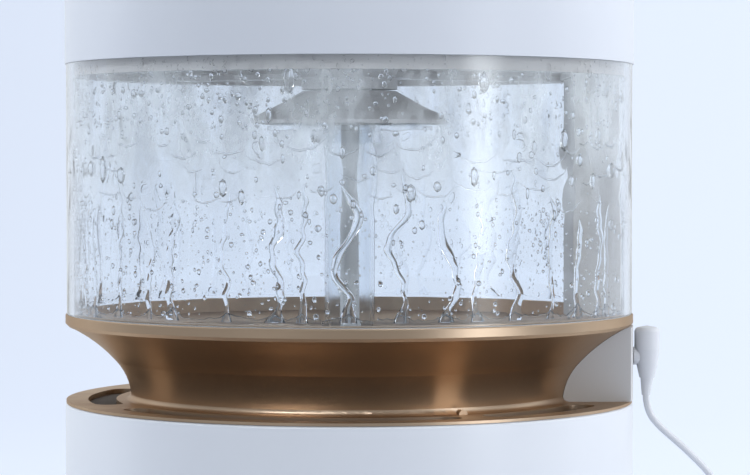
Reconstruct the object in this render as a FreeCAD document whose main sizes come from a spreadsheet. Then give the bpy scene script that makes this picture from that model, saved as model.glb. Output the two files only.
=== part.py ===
"""A rain-curtain room humidifier: a round tower with a water tank, a flared air-inlet waist, a clear spray
chamber and a fan head.

Units are millimetres and +Z is up. The origin is the centre of the footprint, on the plane that the feet
stand on. The front is -Y. A bearing is an angle in degrees seen from above, from the front towards +X. The
riser that carries the power and its socket is at +X.
"""

import FreeCAD
import Part
import Sketcher
import math
import os

from FreeCAD import Placement, Rotation, Vector

# The driving dimensions. Heights are above the floor; radii are from the tower's axis.
SIZES = {
    # The tower's skin.
    "body_radius": 130.0,
    "shell_wall": 2.6,
    "foot_height": 3.0,
    "foot_radius": 9.0,
    "foot_circle": 96.0,
    "foot_sink": 1.0,
    "base_round": 5.0,
    "base_thick": 3.0,
    "tank_top": 178.0,
    # The basin that holds the water.
    "basin_radius": 124.0,
    "basin_wall": 2.2,
    "basin_round": 12.0,
    "basin_top": 170.5,
    # The waist: a slotted flange and a funnel whose wall is an arc and then a straight flare.
    "flange_thick": 1.2,
    "flange_radius": 129.7,
    "plate_thick": 2.2,
    "spigot_inner": 122.5,
    "spigot_outer": 126.8,
    "spigot_drop": 6.0,
    "flare_centre": 128.0,
    "flare_arc": 28.0,
    "flare_wide": 70.0,
    "funnel_wall": 2.2,
    "foot_blend": 2.6,
    "drip_lip": 10.0,
    "waist_top": 212.6,
    "slot_inner": 107.0,
    "slot_outer": 119.8,
    "filter_thick": 2.0,
    # The ring that the clear window stands on.
    "rim_thick": 5.6,
    "rim_chamfer": 1.5,
    "upstand_inner": 124.0,
    "upstand_outer": 125.8,
    "upstand_rise": 1.0,
    # The window.
    "window_outer": 129.4,
    "window_inner": 126.2,
    "window_foot": 218.5,
    "window_top": 331.5,
    # The riser at +X, below and inside the window.
    "riser_half": 28.0,
    "riser_inner": 101.0,
    "riser_outer": 123.6,
    "riser_foot": 216.0,
    "riser_wall": 2.0,
    "socket_height": 198.0,
    "socket_radius": 5.2,
    "socket_bore": 2.8,
    "socket_depth": 9.5,
    "socket_face": 129.3,
    "tower_near": 110.2,
    "tower_wide": 7.6,
    "tower_left": 9.2,
    "tower_long": 15.6,
    "tower_foot": 188.0,
    "tower_top": 225.0,
    # The chamber's ceiling and the pod that holds the lift motor.
    "ceiling_foot": 325.5,
    "ceiling_thick": 2.5,
    "skirt_inner": 123.6,
    "skirt_outer": 125.9,
    "vent_radius": 115.0,
    "pod_radius": 22.0,
    "pod_foot": 320.4,
    "pod_top": 366.0,
    "pod_wall": 2.0,
    # The spinning lift pipe and its spray head.
    "shaft_radius": 4.3,
    "pivot_radius": 2.5,
    "pipe_outer": 11.5,
    "pipe_inner": 9.8,
    "pipe_foot": 26.0,
    "pipe_top": 303.5,
    "canopy_radius": 44.5,
    "canopy_top": 319.6,
    "canopy_foot": 305.2,
    "disc_radius": 38.0,
    "disc_thick": 2.0,
    # The fan and its duct.
    "duct_inner": 110.0,
    "duct_outer": 112.0,
    "duct_foot": 368.5,
    "duct_top": 410.0,
    "hub_radius": 30.0,
    "blade_tip": 106.0,
    # The head's shell, its outlet grille and its controls.
    "head_top": 440.0,
    "head_round": 7.0,
    "recess_radius": 114.5,
    "ledge_height": 429.5,
    "grille_outer": 112.4,
    "grille_inner": 58.0,
    "grille_top": 436.0,
    "panel_radius": 54.0,
    "panel_foot": 436.5,
    "button_radius": 12.0,
    "button_top": 439.8,
    # The level float.
    "float_reach": 108.0,
    "float_radius": 12.0,
    "float_foot": 32.0,
    "float_tall": 18.0,
    "rod_radius": 3.0,
    # The power lead.
    "cord_radius": 1.6,
    "plug_reach": 137.0,
    "coil_radius": 18.5,
    "coil_bundle": 5.3,
    "case_long": 62.0,
    "case_wide": 36.0,
    "case_tall": 27.0,
}
SLOT_BEARINGS = [(-112, -68), (-57, 25), (31, 68), (112, 149), (155, 237)]
FOOT_BEARINGS = [45, 135, 225, 315]
MARK_BEARING = 28.5
SPOKE_BEARINGS = [(0, 42.0), (120, 12.0), (240, 12.0)]
BLADE_COUNT = 7
FIN_COUNT = 60
VANE_COUNT = 12

# The power lead's route, from the plug's strain relief to the coil on the floor, and from the coil to the
# adapter. A round lead's centre lies one radius above the floor.
LEAD_ROUTE = [
    (136.6, 0.0, 180.0),
    (137.0, 0.4, 172.5),
    (143.5, 1.8, 164.6),
    (155.0, 4.6, 155.0),
    (169.0, 9.0, 141.0),
    (182.0, 15.0, 120.0),
    (192.0, 22.5, 93.0),
    (199.5, 31.0, 64.0),
    (205.5, 41.0, 36.0),
    (211.5, 53.5, 14.0),
    (214.0, 70.0, 2.8),
    (213.8, 90.0, 1.6),
    (210.2, 108.5, 1.6),
]
COIL_PLACE = (190.0, 118.0)
ADAPTER_ROUTE = [
    (181.0, 139.2, 4.0),
    (168.0, 142.5, 1.8),
    (153.0, 145.5, 1.6),
    (138.0, 150.5, 4.5),
    (124.0, 155.5, 10.5),
    (112.0, 158.0, 13.2),
]
CASE_PLACE = (28.0, 140.5)

doc = FreeCAD.newDocument("humidifier")
sheet = doc.addObject("Spreadsheet::Sheet", "sizes")
for row, (alias, size) in enumerate(SIZES.items(), start=1):
    sheet.set(f"A{row}", alias)
    sheet.set(f"B{row}", str(size))
    sheet.setAlias(f"B{row}", alias)
doc.recompute()
nodes = []


# ---- Tools for drawing with the sheet's sizes ----


def amount(text):
    """The value of a sum such as "body_radius - 2*shell_wall", of numbers, sizes and their products."""
    total, sign = 0.0, 1.0
    for word in str(text).split():
        if word in ("+", "-"):
            sign = 1.0 if word == "+" else -1.0
            continue
        product = -1.0 if word.startswith("-") else 1.0
        for factor in word.lstrip("-").split("*"):
            product *= SIZES[factor] if factor in SIZES else float(factor)
        total += sign * product
    return total


def linked(text):
    """The same sum as a FreeCAD expression that reads the sheet."""
    words = []
    for word in str(text).split():
        if word in ("+", "-"):
            words.append(word)
            continue
        factors = ["sizes." + f if f in SIZES else f for f in word.lstrip("-").split("*")]
        words.append(("-1*" if word.startswith("-") else "") + "*".join(factors))
    return " ".join(words)


def bind(thing, **properties):
    for name, text in properties.items():
        thing.setExpression(name, linked(text))


def place(thing, x="0", y="0", z="0", turn=None):
    """Puts a primitive at a point whose coordinates follow the sheet, turned by (axis, degrees)."""
    if turn:
        thing.Placement = Placement(Vector(), Rotation(Vector(*turn[0]), turn[1]))
    for axis, text in zip("xyz", (x, y, z)):
        thing.setExpression(f".Placement.Base.{axis}", linked(text))
    return thing


def keep(thing, name):
    """Marks an object as a sub-part that is written out."""
    thing.Label = name
    nodes.append(thing)
    return thing


def polar(bearing, radius):
    """The sheet's expressions for the x and y of a point at a bearing and a radius."""
    angle = math.radians(bearing)
    return f"{math.sin(angle):.9f}*{radius}", f"{-math.cos(angle):.9f}*{radius}"


def plane_of(body, role):
    return next(f for f in body.Origin.OriginFeatures if f.Role == role)


def arc_between(start, end, radius):
    """The smaller arc from start to end; its centre is on the left of travel if the radius is positive."""
    chord = end - start
    across = Vector(-chord.y, chord.x, 0).normalize()
    drop = math.sqrt(max(0.0, radius**2 - (chord.Length / 2) ** 2))
    centre = (start + end) * 0.5 + across * math.copysign(drop, radius)
    angles = [math.atan2(p.y - centre.y, p.x - centre.x) for p in (start, end)]
    if radius < 0:
        angles.reverse()
    return Part.ArcOfCircle(Part.Circle(centre, Vector(0, 0, 1), abs(radius)), *angles)


def draw(sketch, outline):
    """Draws a closed outline of (x, y) or (x, y, radius of the arc that leads there), each a sum of sizes."""
    corners = [Vector(amount(p[0]), amount(p[1]), 0) for p in outline]
    ends = []
    for i, corner in enumerate(corners):
        follower = (i + 1) % len(corners)
        bend = outline[follower][2] if len(outline[follower]) > 2 else None
        if bend is None:
            index = sketch.addGeometry(Part.LineSegment(corner, corners[follower]))
            ends.append((index, 1, 2, None))
        else:
            index = sketch.addGeometry(arc_between(corner, corners[follower], amount(bend)))
            ends.append((index, 1, 2, bend) if amount(bend) > 0 else (index, 2, 1, bend))
    for i, (index, first, last, bend) in enumerate(ends):
        following = ends[(i + 1) % len(ends)]
        sketch.addConstraint(Sketcher.Constraint("Coincident", index, last, following[0], following[1]))
        for kind, axis, place_text, value in (
            ("DistanceX", -2, outline[i][0], corners[i].x),
            ("DistanceY", -1, outline[i][1], corners[i].y),
        ):
            if abs(value) < 1e-9:
                sketch.addConstraint(Sketcher.Constraint("PointOnObject", index, first, axis))
                continue
            number = sketch.addConstraint(Sketcher.Constraint(kind, -1, 1, index, first, value))
            sketch.setExpression(f"Constraints[{number}]", linked(place_text))
        if bend is not None:
            number = sketch.addConstraint(Sketcher.Constraint("Radius", index, abs(amount(bend))))
            size = linked(bend) if amount(bend) > 0 else f"-({linked(bend)})"
            sketch.setExpression(f"Constraints[{number}]", size)


def sketch_in(body, role, name, outline):
    sketch = body.newObject("Sketcher::SketchObject", name)
    sketch.AttachmentSupport = (plane_of(body, role), [""])
    sketch.MapMode = "FlatFace"
    draw(sketch, outline)
    return sketch


def turned(name, outline):
    """A body made by turning an outline of (radius, height) points about the tower's axis."""
    body = doc.addObject("PartDesign::Body", name)
    sketch = sketch_in(body, "XZ_Plane", name + "_outline", outline)
    turn = body.newObject("PartDesign::Revolution", name + "_turn")
    turn.Profile = sketch
    turn.ReferenceAxis = (sketch, ["V_Axis"])
    turn.Angle = 360
    doc.recompute()
    return body


def ring(name, inner, outer, foot, top):
    """A plain washer or sleeve round the axis."""
    corners = [(inner, foot), (outer, foot), (outer, top), (inner, top)]
    return turned(name, corners)


def cylinder(name, radius, tall, x="0", y="0", z="0", turn=None, sector=None):
    thing = doc.addObject("Part::Cylinder", name)
    bind(thing, Radius=radius, Height=tall)
    if sector:
        thing.Angle = sector
    return place(thing, x, y, z, turn)


def box(name, long, wide, tall, x, y, z, turn=None):
    thing = doc.addObject("Part::Box", name)
    bind(thing, Length=long, Width=wide, Height=tall)
    return place(thing, x, y, z, turn)


def fuse(name, parts):
    thing = doc.addObject("Part::MultiFuse", name)
    thing.Shapes = parts
    return thing


def common(name, parts):
    thing = doc.addObject("Part::MultiCommon", name)
    thing.Shapes = parts
    return thing


def cut(name, base, tools):
    thing = doc.addObject("Part::Cut", name)
    thing.Base = base
    thing.Tool = tools[0] if len(tools) == 1 else fuse(name + "_tools", tools)
    return thing


def group(name, parts):
    """Separate solids that share one node."""
    thing = doc.addObject("Part::Compound", name)
    thing.Links = parts
    return thing


def shaped(name, shape):
    """A sub-part whose shape is made with Part's own functions."""
    thing = doc.addObject("Part::Feature", name)
    thing.Shape = shape
    return thing


def route_of(points):
    """Straight runs joined by tangent arcs, each as large as its two runs allow; returns wire and radii."""
    stops = [Vector(*p) for p in points]
    edges, radii, start = [], [], stops[0]
    for before, corner, after in zip(stops, stops[1:], stops[2:]):
        back, ahead = (before - corner), (after - corner)
        turn = math.pi - back.getAngle(ahead)
        shorter = min(back.Length, ahead.Length)
        reach = 0.45 * shorter
        radii.append(reach / math.tan(turn / 2))
        entry = corner + back.normalize() * reach
        leave = corner + ahead.normalize() * reach
        halfway = (back + ahead).normalize()
        middle = corner + halfway * (radii[-1] / math.cos(turn / 2) - radii[-1])
        edges.append(Part.LineSegment(start, entry).toShape())
        edges.append(Part.Arc(entry, middle, leave).toShape())
        start = leave
    edges.append(Part.LineSegment(start, stops[-1]).toShape())
    return Part.Wire(edges), radii


def tube(name, points, radius):
    """A round cord or wire along a route."""
    wire, radii = route_of(points)
    start = Vector(*points[0])
    circle = Part.Circle(start, Vector(*points[1]) - start, radius)
    solid = wire.makePipeShell([Part.Wire([circle.toShape()])], True, False)
    ideal = math.pi * radius**2 * wire.Length
    print(f"{name}: {wire.Length:.0f} long, volume {solid.Volume / ideal:.4f} of ideal,", end=" ")
    print("radii", [round(r, 1) for r in radii])
    return shaped(name, solid)


# ---- The tank: outer shell, feet, water basin, bush and level float ----


def make_tank_shell():
    """The white outer drum, moulded in one piece with its floor, with four shallow pockets for the feet."""
    inner = "body_radius - shell_wall"
    floor_top = "foot_height + base_thick"
    drum = turned(
        "tank_drum",
        [
            ("0", "foot_height"),
            ("body_radius - base_round", "foot_height"),
            ("body_radius", "foot_height + base_round", "base_round"),
            ("body_radius", "tank_top - 0.8"),
            ("body_radius - 0.8", "tank_top"),
            (inner, "tank_top"),
            (inner, floor_top + " + 3"),
            (inner + " - 3", floor_top, "-3"),
            ("0", floor_top),
        ],
    )
    pockets = []
    for i, bearing in enumerate(FOOT_BEARINGS):
        x, y = polar(bearing, "foot_circle")
        pockets.append(cylinder(f"foot_pocket_{i}", "foot_radius + 0.2", "foot_sink", x, y, "foot_height"))
    keep(cut("tank_shell_cut", drum, pockets), "tank_shell")


def make_feet():
    """Four round rubber pads that the tower stands on."""
    pads = []
    for i, bearing in enumerate(FOOT_BEARINGS):
        x, y = polar(bearing, "foot_circle")
        pads.append(cylinder(f"foot_pad_{i}", "foot_radius", "foot_height + foot_sink", x, y))
    keep(group("foot_group", pads), "foot_pads")


def make_basin():
    """The inner bowl that holds the water and lifts out for washing."""
    foot = "foot_height + base_thick"
    inside = "basin_radius - basin_wall"
    bowl = turned(
        "basin_bowl",
        [
            ("0", foot),
            ("basin_radius - basin_round", foot),
            ("basin_radius", foot + " + basin_round", "basin_round"),
            ("basin_radius", "basin_top - 4"),
            ("basin_radius + 2.4", "basin_top - 2"),
            ("basin_radius + 2.4", "basin_top"),
            (inside, "basin_top"),
            (inside, foot + " + basin_round"),
            ("basin_radius - basin_round", foot + " + basin_wall", "-basin_round + basin_wall"),
            ("0", foot + " + basin_wall"),
        ],
    )
    keep(bowl, "water_basin")


def make_sump_bush():
    """The plastic bush on the basin's floor that steadies the lift pipe's pivot."""
    floor = "foot_height + base_thick + basin_wall"
    bush = turned(
        "bush",
        [
            ("0", floor),
            ("14", floor),
            ("14", floor + " + 2"),
            ("8", floor + " + 3.5"),
            ("6.5", floor + " + 10"),
            ("pivot_radius + 0.06", floor + " + 10"),
            ("pivot_radius + 0.06", floor + " + 1.5"),
            ("0", floor + " + 1.5"),
        ],
    )
    keep(bush, "sump_bush")


def make_level_gauge():
    """The rod under the riser with its end stop, and the float that rides on it with its magnet."""
    rod_tall = "tank_top + flange_thick - plate_thick - float_foot + 4"
    rod = cylinder("rod", "rod_radius", rod_tall, "float_reach", "0", "float_foot - 4")
    stop = cylinder("rod_stop", "2*rod_radius", "1.8", "float_reach", "0", "float_foot - 2")
    keep(fuse("rod_fused", [rod, stop]), "level_rod")
    drum = cylinder("float_drum", "float_radius", "float_tall", "float_reach", "0", "float_foot")
    hole = cylinder("float_hole", "rod_radius + 0.6", "float_tall", "float_reach", "0", "float_foot")
    seat = cylinder("magnet_seat", "rod_radius + 2.6", "5", "float_reach", "0", "float_foot + float_tall - 5")
    keep(cut("float_cut", drum, [hole, seat]), "level_float")
    magnet = cylinder("magnet", "rod_radius + 2.6", "4", "float_reach", "0", "float_foot + float_tall - 5")
    bore = cylinder("magnet_bore", "rod_radius + 0.6", "4", "float_reach", "0", "float_foot + float_tall - 5")
    keep(cut("magnet_cut", magnet, [bore]), "float_magnet")


# ---- The waist: slotted flange and funnel, rim ring, seal, filter, riser foot and socket ----

# The funnel's wall turns up from its narrowest level on a tight arc, then on a wide tangent one.
TIGHT_TURN = 42.0
FOOT_TURN = 8.0


def on_flare(radius, degrees):
    """The expressions of a point on the funnel's tight arc, turned up by some degrees."""
    angle = math.radians(degrees)
    return f"flare_centre - {math.cos(angle):.9f}*{radius}", f"tank_top + {math.sin(angle):.9f}*{radius}"


def wide_arc(offset):
    """The wide arc's radius, and where it meets the waist's top, for a wall set in by an offset."""
    angle = math.radians(TIGHT_TURN)
    radius = SIZES["flare_wide"] + offset
    gain = SIZES["flare_wide"] - SIZES["flare_arc"]
    centre_in = SIZES["flare_centre"] + gain * math.cos(angle)
    centre_up = SIZES["tank_top"] - gain * math.sin(angle)
    reach = math.sqrt(radius**2 - (SIZES["waist_top"] - centre_up) ** 2)
    return str(radius), f"{centre_in - reach:.9f}"


def make_waist():
    """The gold moulding: a flange with air slots, and the funnel that stands on it."""
    plate_foot = "tank_top + flange_thick - plate_thick"
    plate_top = "tank_top + flange_thick"
    inner_arc = f"{SIZES['flare_arc'] + SIZES['funnel_wall']}"
    outer_wide, outer_top = wide_arc(0.0)
    inner_wide, inner_top = wide_arc(SIZES["funnel_wall"])
    body = turned(
        "waist_turned",
        [
            ("flange_radius", "tank_top"),
            ("flange_radius", plate_top),
            (on_flare("flare_arc", FOOT_TURN)[0] + " + foot_blend + 0.4", plate_top),
            (*on_flare("flare_arc", FOOT_TURN), "-foot_blend"),
            (*on_flare("flare_arc", TIGHT_TURN), "-flare_arc"),
            (outer_top, "waist_top", "-" + outer_wide),
            (inner_top, "waist_top"),
            (*on_flare(inner_arc, TIGHT_TURN), inner_wide),
            (f"flare_centre - {inner_arc}", "tank_top", inner_arc),
            (f"flare_centre - {inner_arc}", "tank_top - drip_lip"),
            (f"flare_centre - {inner_arc} + 2", "tank_top - drip_lip"),
            (f"flare_centre - {inner_arc} + 2", plate_foot),
            ("spigot_inner", plate_foot),
            ("spigot_inner", "tank_top - spigot_drop"),
            ("spigot_outer", "tank_top - spigot_drop"),
            ("spigot_outer", "tank_top"),
        ],
    )
    deep = ("plate_thick + 2", plate_foot + " - 1")
    cutters = []
    middle, half = "0.5*slot_inner + 0.5*slot_outer", "0.5*slot_outer - 0.5*slot_inner"
    half_span = math.degrees(amount(half) / amount(middle))
    for i, (first, last) in enumerate(SLOT_BEARINGS):
        low, high = first + half_span, last - half_span
        turn = ((0, 0, 1), low - 90)
        disc = cylinder(f"slot_disc_{i}", "slot_outer", deep[0], z=deep[1], turn=turn, sector=high - low)
        core = cylinder(f"slot_core_{i}", "slot_inner", deep[0], z=deep[1])
        cutters.append(cut(f"slot_arc_{i}", disc, [core]))
        for j, bearing in enumerate((low, high)):
            angle = math.radians(bearing)
            x = f"{0.5 * math.sin(angle):.9f}*slot_inner + {0.5 * math.sin(angle):.9f}*slot_outer"
            y = f"{-0.5 * math.cos(angle):.9f}*slot_inner + {-0.5 * math.cos(angle):.9f}*slot_outer"
            cutters.append(cylinder(f"slot_end_{i}_{j}", half, deep[0], x, y, deep[1]))
    tower = "tower_wide + 0.6"
    hole = box(
        "tower_hole", tower, "tower_long + 0.6", "40", "tower_near - 0.3", "tower_left - 0.3", "tank_top + 14"
    )
    mark = doc.addObject("Part::Cylinder", "lock_mark")
    bind(mark, Radius="2.1", Height="4.2")
    bearing = math.radians(MARK_BEARING)
    mark_reach = amount("flare_centre - flare_arc - 0.6")
    mark.Placement = Placement(
        Vector(mark_reach * math.sin(bearing), -mark_reach * math.cos(bearing), amount(plate_top)),
        Rotation(Vector(0, 0, 1), MARK_BEARING - 90) * Rotation(Vector(0, 1, 0), 90),
    )
    under = cylinder("under_mark", "flange_radius", "8", z=plate_foot + " - 8")
    half_round = cut("half_mark", mark, [under])
    slotted = cut("waist_slotted", body, cutters + [hole])
    keep(fuse("waist_fused", [slotted, half_round]), "waist_funnel")


def make_inlet_filter():
    """The washable dust mesh under the flange's slots, open at the riser."""
    top = "tank_top + flange_thick - plate_thick"
    mesh = ring("filter_ring", "100.2", "spigot_inner - 0.3", top + " - filter_thick", top)
    gap = box("filter_gap", "40", "2*riser_half + 2", "10", "94", "0 - riser_half - 1", top + " - 6")
    keep(cut("filter_cut", mesh, [gap]), "inlet_filter")


def make_rim():
    """The gold ring round the top of the funnel, with a groove for the seal and an upstand in the window."""
    top = "waist_top + rim_thick"
    rim = turned(
        "rim",
        [
            ("upstand_inner", "waist_top"),
            ("body_radius - rim_chamfer", "waist_top"),
            ("body_radius", "waist_top + rim_chamfer"),
            ("body_radius", top + " - 0.5"),
            ("body_radius - 0.5", top),
            ("window_outer - 0.1", top),
            ("window_outer - 0.1", top + " - 0.7"),
            ("window_inner + 0.1", top + " - 0.7"),
            ("window_inner + 0.1", top),
            ("upstand_outer", top),
            ("upstand_outer", top + " + upstand_rise"),
            ("upstand_inner", top + " + upstand_rise"),
        ],
    )
    keep(rim, "rim_ring")
    seal = ring("seal", "window_inner + 0.3", "window_outer - 0.3", top + " - 0.7", "window_foot")
    keep(seal, "window_seal")


def funnel_envelope(name, gap):
    """Everything within the funnel's outer face and a gap, from the flange up to the rim."""
    arc = f"{SIZES['flare_arc'] - gap}"
    wide, top = wide_arc(-gap)
    return turned(
        name,
        [
            ("0", "tank_top"),
            ("flare_centre - " + arc, "tank_top"),
            (*on_flare(arc, TIGHT_TURN), "-" + arc),
            (top, "waist_top", "-" + wide),
            ("0", "waist_top"),
        ],
    )


def make_riser_foot():
    """The white block at +X between flange and rim that holds the power socket, hollow behind its faces."""
    foot = "tank_top + flange_thick"
    tall = "waist_top - tank_top - flange_thick"
    drum = cylinder("foot_drum", "body_radius", tall, z=foot)
    slab = box("foot_slab", "50", "2*riser_half", tall, "90", "0 - riser_half", foot)
    funnel = funnel_envelope("funnel_skin", 0.15)
    blend = turned(
        "blend_room",
        [
            ("98", foot),
            ("flare_centre - flare_arc + 2.8", foot),
            ("flare_centre - flare_arc + 1.75", foot + " + 0.35"),
            ("flare_centre - flare_arc + 1", foot + " + 0.85"),
            ("flare_centre - flare_arc + 0.55", foot + " + 1.5"),
            ("flare_centre - flare_arc + 0.3", foot + " + 2.6"),
            ("98", foot + " + 2.6"),
        ],
    )
    outside = cut("foot_outside", common("foot_block", [drum, slab]), [funnel, blend])
    room = cylinder("room_drum", "body_radius - 2.4", tall + " - 4", z=foot + " + 2")
    inside = box(
        "room_slab",
        "50",
        "2*riser_half - 2*riser_wall",
        tall + " - 4",
        "90",
        "riser_wall - riser_half",
        foot + " + 2",
    )
    far_funnel = funnel_envelope("funnel_room", 2.2)
    hollow = cut("foot_hollow", common("foot_room", [room, inside]), [far_funnel])
    tower_way = box(
        "tower_way",
        "tower_wide + 0.6",
        "tower_long + 0.6",
        "40",
        "tower_near - 0.3",
        "tower_left - 0.3",
        "tower_foot",
    )
    lying = ((0, 1, 0), 90)
    socket_way = cylinder("socket_way", "socket_radius + 0.1", "20", "116.5", "0", "socket_height", lying)
    keep(cut("riser_foot_cut", outside, [hollow, tower_way, socket_way]), "riser_foot")


def make_socket():
    """The round power socket in the riser's foot, its centre pin and the two wires behind it."""
    lying = ((0, 1, 0), 90)
    tail = "socket_face - socket_depth - 2.6"
    long = "socket_depth + 2.6"
    barrel = cylinder("socket_barrel", "socket_radius", long, tail, "0", "socket_height", lying)
    deep = "socket_face - socket_depth"
    bore = cylinder("socket_bore", "socket_bore", "socket_depth", deep, "0", "socket_height", lying)
    pin_hole = cylinder("pin_hole", "1", "4", tail, "0", "socket_height", lying)
    keep(cut("socket_cut", barrel, [bore, pin_hole]), "dc_socket")
    keep(cylinder("socket_pin", "1", "socket_depth + 0.6", tail, "0", "socket_height", lying), "socket_pin")
    left = amount("tower_left")
    start = amount(tail)
    height = amount("socket_height")
    wires = []
    for i, (lift, reach) in enumerate(((-2.4, 3.4), (2.4, 6.4))):
        points = [
            (start, lift, height - 1),
            (start - 2.6, lift + 0.4, height - 2.4),
            (start - 3.2, lift + 3.0, height - 5.0),
            (start - 2.9, left - 3.4 + 0.2 * reach, height - 6.4),
            (start - 2.0, left, height - 6.8 + 0.4 * reach),
        ]
        wires.append(tube(f"socket_wire_{i}", points, 0.55))
    keep(group("socket_wires", wires), "socket_leads")


def make_contact_tower():
    """The sealed post that passes up through the funnel's flare with four spring contacts on top."""
    tall = "tower_top - tower_foot"
    post = box("tower_post", "tower_wide", "tower_long", tall, "tower_near", "tower_left", "tower_foot")
    keep(post, "contact_tower")
    pins = []
    for i in range(4):
        along = f"tower_left + {0.125 + 0.25 * i}*tower_long"
        pins.append(cylinder(f"contact_{i}", "0.9", "2.4", "tower_near + 0.5*tower_wide", along, "tower_top"))
    keep(group("contact_group", pins), "contact_pins")


# ---- The spray chamber: window, riser, ceiling, drop catcher and lift-motor pod ----


def make_window():
    keep(ring("window", "window_inner", "window_outer", "window_foot", "window_top"), "window")


def make_riser():
    """The closed column inside the window at +X that carries the wiring up to the head."""
    tall = "ceiling_foot - riser_foot"
    drum = cylinder("riser_drum", "riser_outer", tall, z="riser_foot")
    slab = box("riser_slab", "40", "2*riser_half", tall, "riser_inner", "0 - riser_half", "riser_foot")
    room_drum = cylinder("riser_room_drum", "riser_outer - riser_wall", tall, z="riser_foot + riser_wall")
    room_slab = box(
        "riser_room_slab",
        "40",
        "2*riser_half - 2*riser_wall",
        tall,
        "riser_inner + riser_wall",
        "riser_wall - riser_half",
        "riser_foot + riser_wall",
    )
    way = box(
        "riser_way",
        "tower_wide + 1.6",
        "tower_long + 1.6",
        "20",
        "tower_near - 0.8",
        "tower_left - 0.8",
        "riser_foot - 5",
    )
    column = common("riser_column", [drum, slab])
    open_column = cut("riser_open", column, [common("riser_room", [room_drum, room_slab]), way])
    level = "tower_top + 5.6"
    shelf = box("contact_shelf", "12", "18", "2", "tower_near - 2.2", "tower_left", level)
    reach = "tower_near - riser_inner"
    shelf_rib = box("shelf_rib", reach, "12", "2", "riser_inner + 1", "tower_left + 2", level)
    keep(fuse("riser_fused", [open_column, shelf, shelf_rib]), "riser_cover")
    pads = box("pads", "tower_wide", "tower_long", "3", "tower_near", "tower_left", "tower_top + 2.6")
    keep(pads, "contact_pads")


def make_ceiling():
    """The grey frame over the chamber: a skirt in the window, a big round vent, three spokes and a hub."""
    top = "ceiling_foot + ceiling_thick"
    frame = turned(
        "ceiling_ring",
        [
            ("vent_radius", "ceiling_foot"),
            ("skirt_outer", "ceiling_foot"),
            ("skirt_outer", "window_top"),
            ("body_radius - shell_wall - 0.3", "window_top"),
            ("body_radius - shell_wall - 0.3", "window_top + 2"),
            ("skirt_inner", "window_top + 2"),
            ("skirt_inner", top),
            ("vent_radius", top),
        ],
    )
    hub = ring("ceiling_hub", "pod_radius + 0.2", "pod_radius + 6", "ceiling_foot", top)
    spokes = []
    for i, (bearing, wide) in enumerate(SPOKE_BEARINGS):
        spoke = doc.addObject("Part::Box", f"spoke_{i}")
        bind(spoke, Length="vent_radius - pod_radius - 1", Width=str(wide), Height="ceiling_thick")
        swing = Rotation(Vector(0, 0, 1), bearing - 90)
        offset = swing.multVec(Vector(amount("pod_radius + 3"), -wide / 2, 0))
        spoke.Placement = Placement(offset + Vector(0, 0, amount("ceiling_foot")), swing)
        spokes.append(spoke)
    pad_box = box(
        "riser_pad_box",
        "30",
        "2*riser_half",
        "ceiling_thick",
        "riser_inner - 2",
        "0 - riser_half",
        "ceiling_foot",
    )
    pad_limit = cylinder("riser_pad_limit", "skirt_inner + 0.5", "40", z="ceiling_foot - 10")
    pad = common("riser_pad", [pad_box, pad_limit])
    way = box("harness_way", "10", "24", "12", "riser_inner + 5", "-12", "ceiling_foot - 3")
    whole = fuse("ceiling_fused", [frame, hub, pad] + spokes)
    keep(cut("ceiling_cut", whole, [way]), "ceiling_frame")
    screws = []
    for i in range(6):
        x, y = polar(15 + 60 * i, "120.5")
        head = cylinder(f"screw_head_{i}", "2.6", "2.2", x, y, top)
        tip = cylinder(f"screw_tip_{i}", "1.4", "0.4", x, y, top + " + 2")
        screws.append(cut(f"screw_{i}", head, [tip]))
    keep(group("ceiling_screw_group", screws), "ceiling_screws")


def make_drop_catcher():
    """Nested slanted rings above the vent that turn the air and catch stray drops."""
    foot = "ceiling_foot + ceiling_thick + 0.2"
    frame = ring("catcher_frame", "114.4", "117.4", foot, foot + " + 14")
    rings = [frame]
    for i, radius in enumerate((100.0, 86.0, 72.0, 58.0)):
        rings.append(
            turned(
                f"catcher_ring_{i}",
                [
                    (str(radius - 8), foot + " + 2"),
                    (str(radius - 6.4), foot + " + 2"),
                    (str(radius + 4), foot + " + 12"),
                    (str(radius + 2.4), foot + " + 12"),
                ],
            )
        )
    for i in range(3):
        rib = doc.addObject("Part::Box", f"catcher_rib_{i}")
        bind(rib, Length="66", Width="2", Height="10")
        swing = Rotation(Vector(0, 0, 1), 60 + 120 * i - 90)
        offset = swing.multVec(Vector(49.5, -1, 0)) + Vector(0, 0, amount(foot + " + 2"))
        rib.Placement = Placement(offset, swing)
        rings.append(rib)
    cable_way = box("catcher_cable_way", "16", "14", "20", "107", "-7", "ceiling_foot")
    keep(cut("catcher_notched", fuse("catcher", rings), [cable_way]), "drop_catcher")


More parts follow.
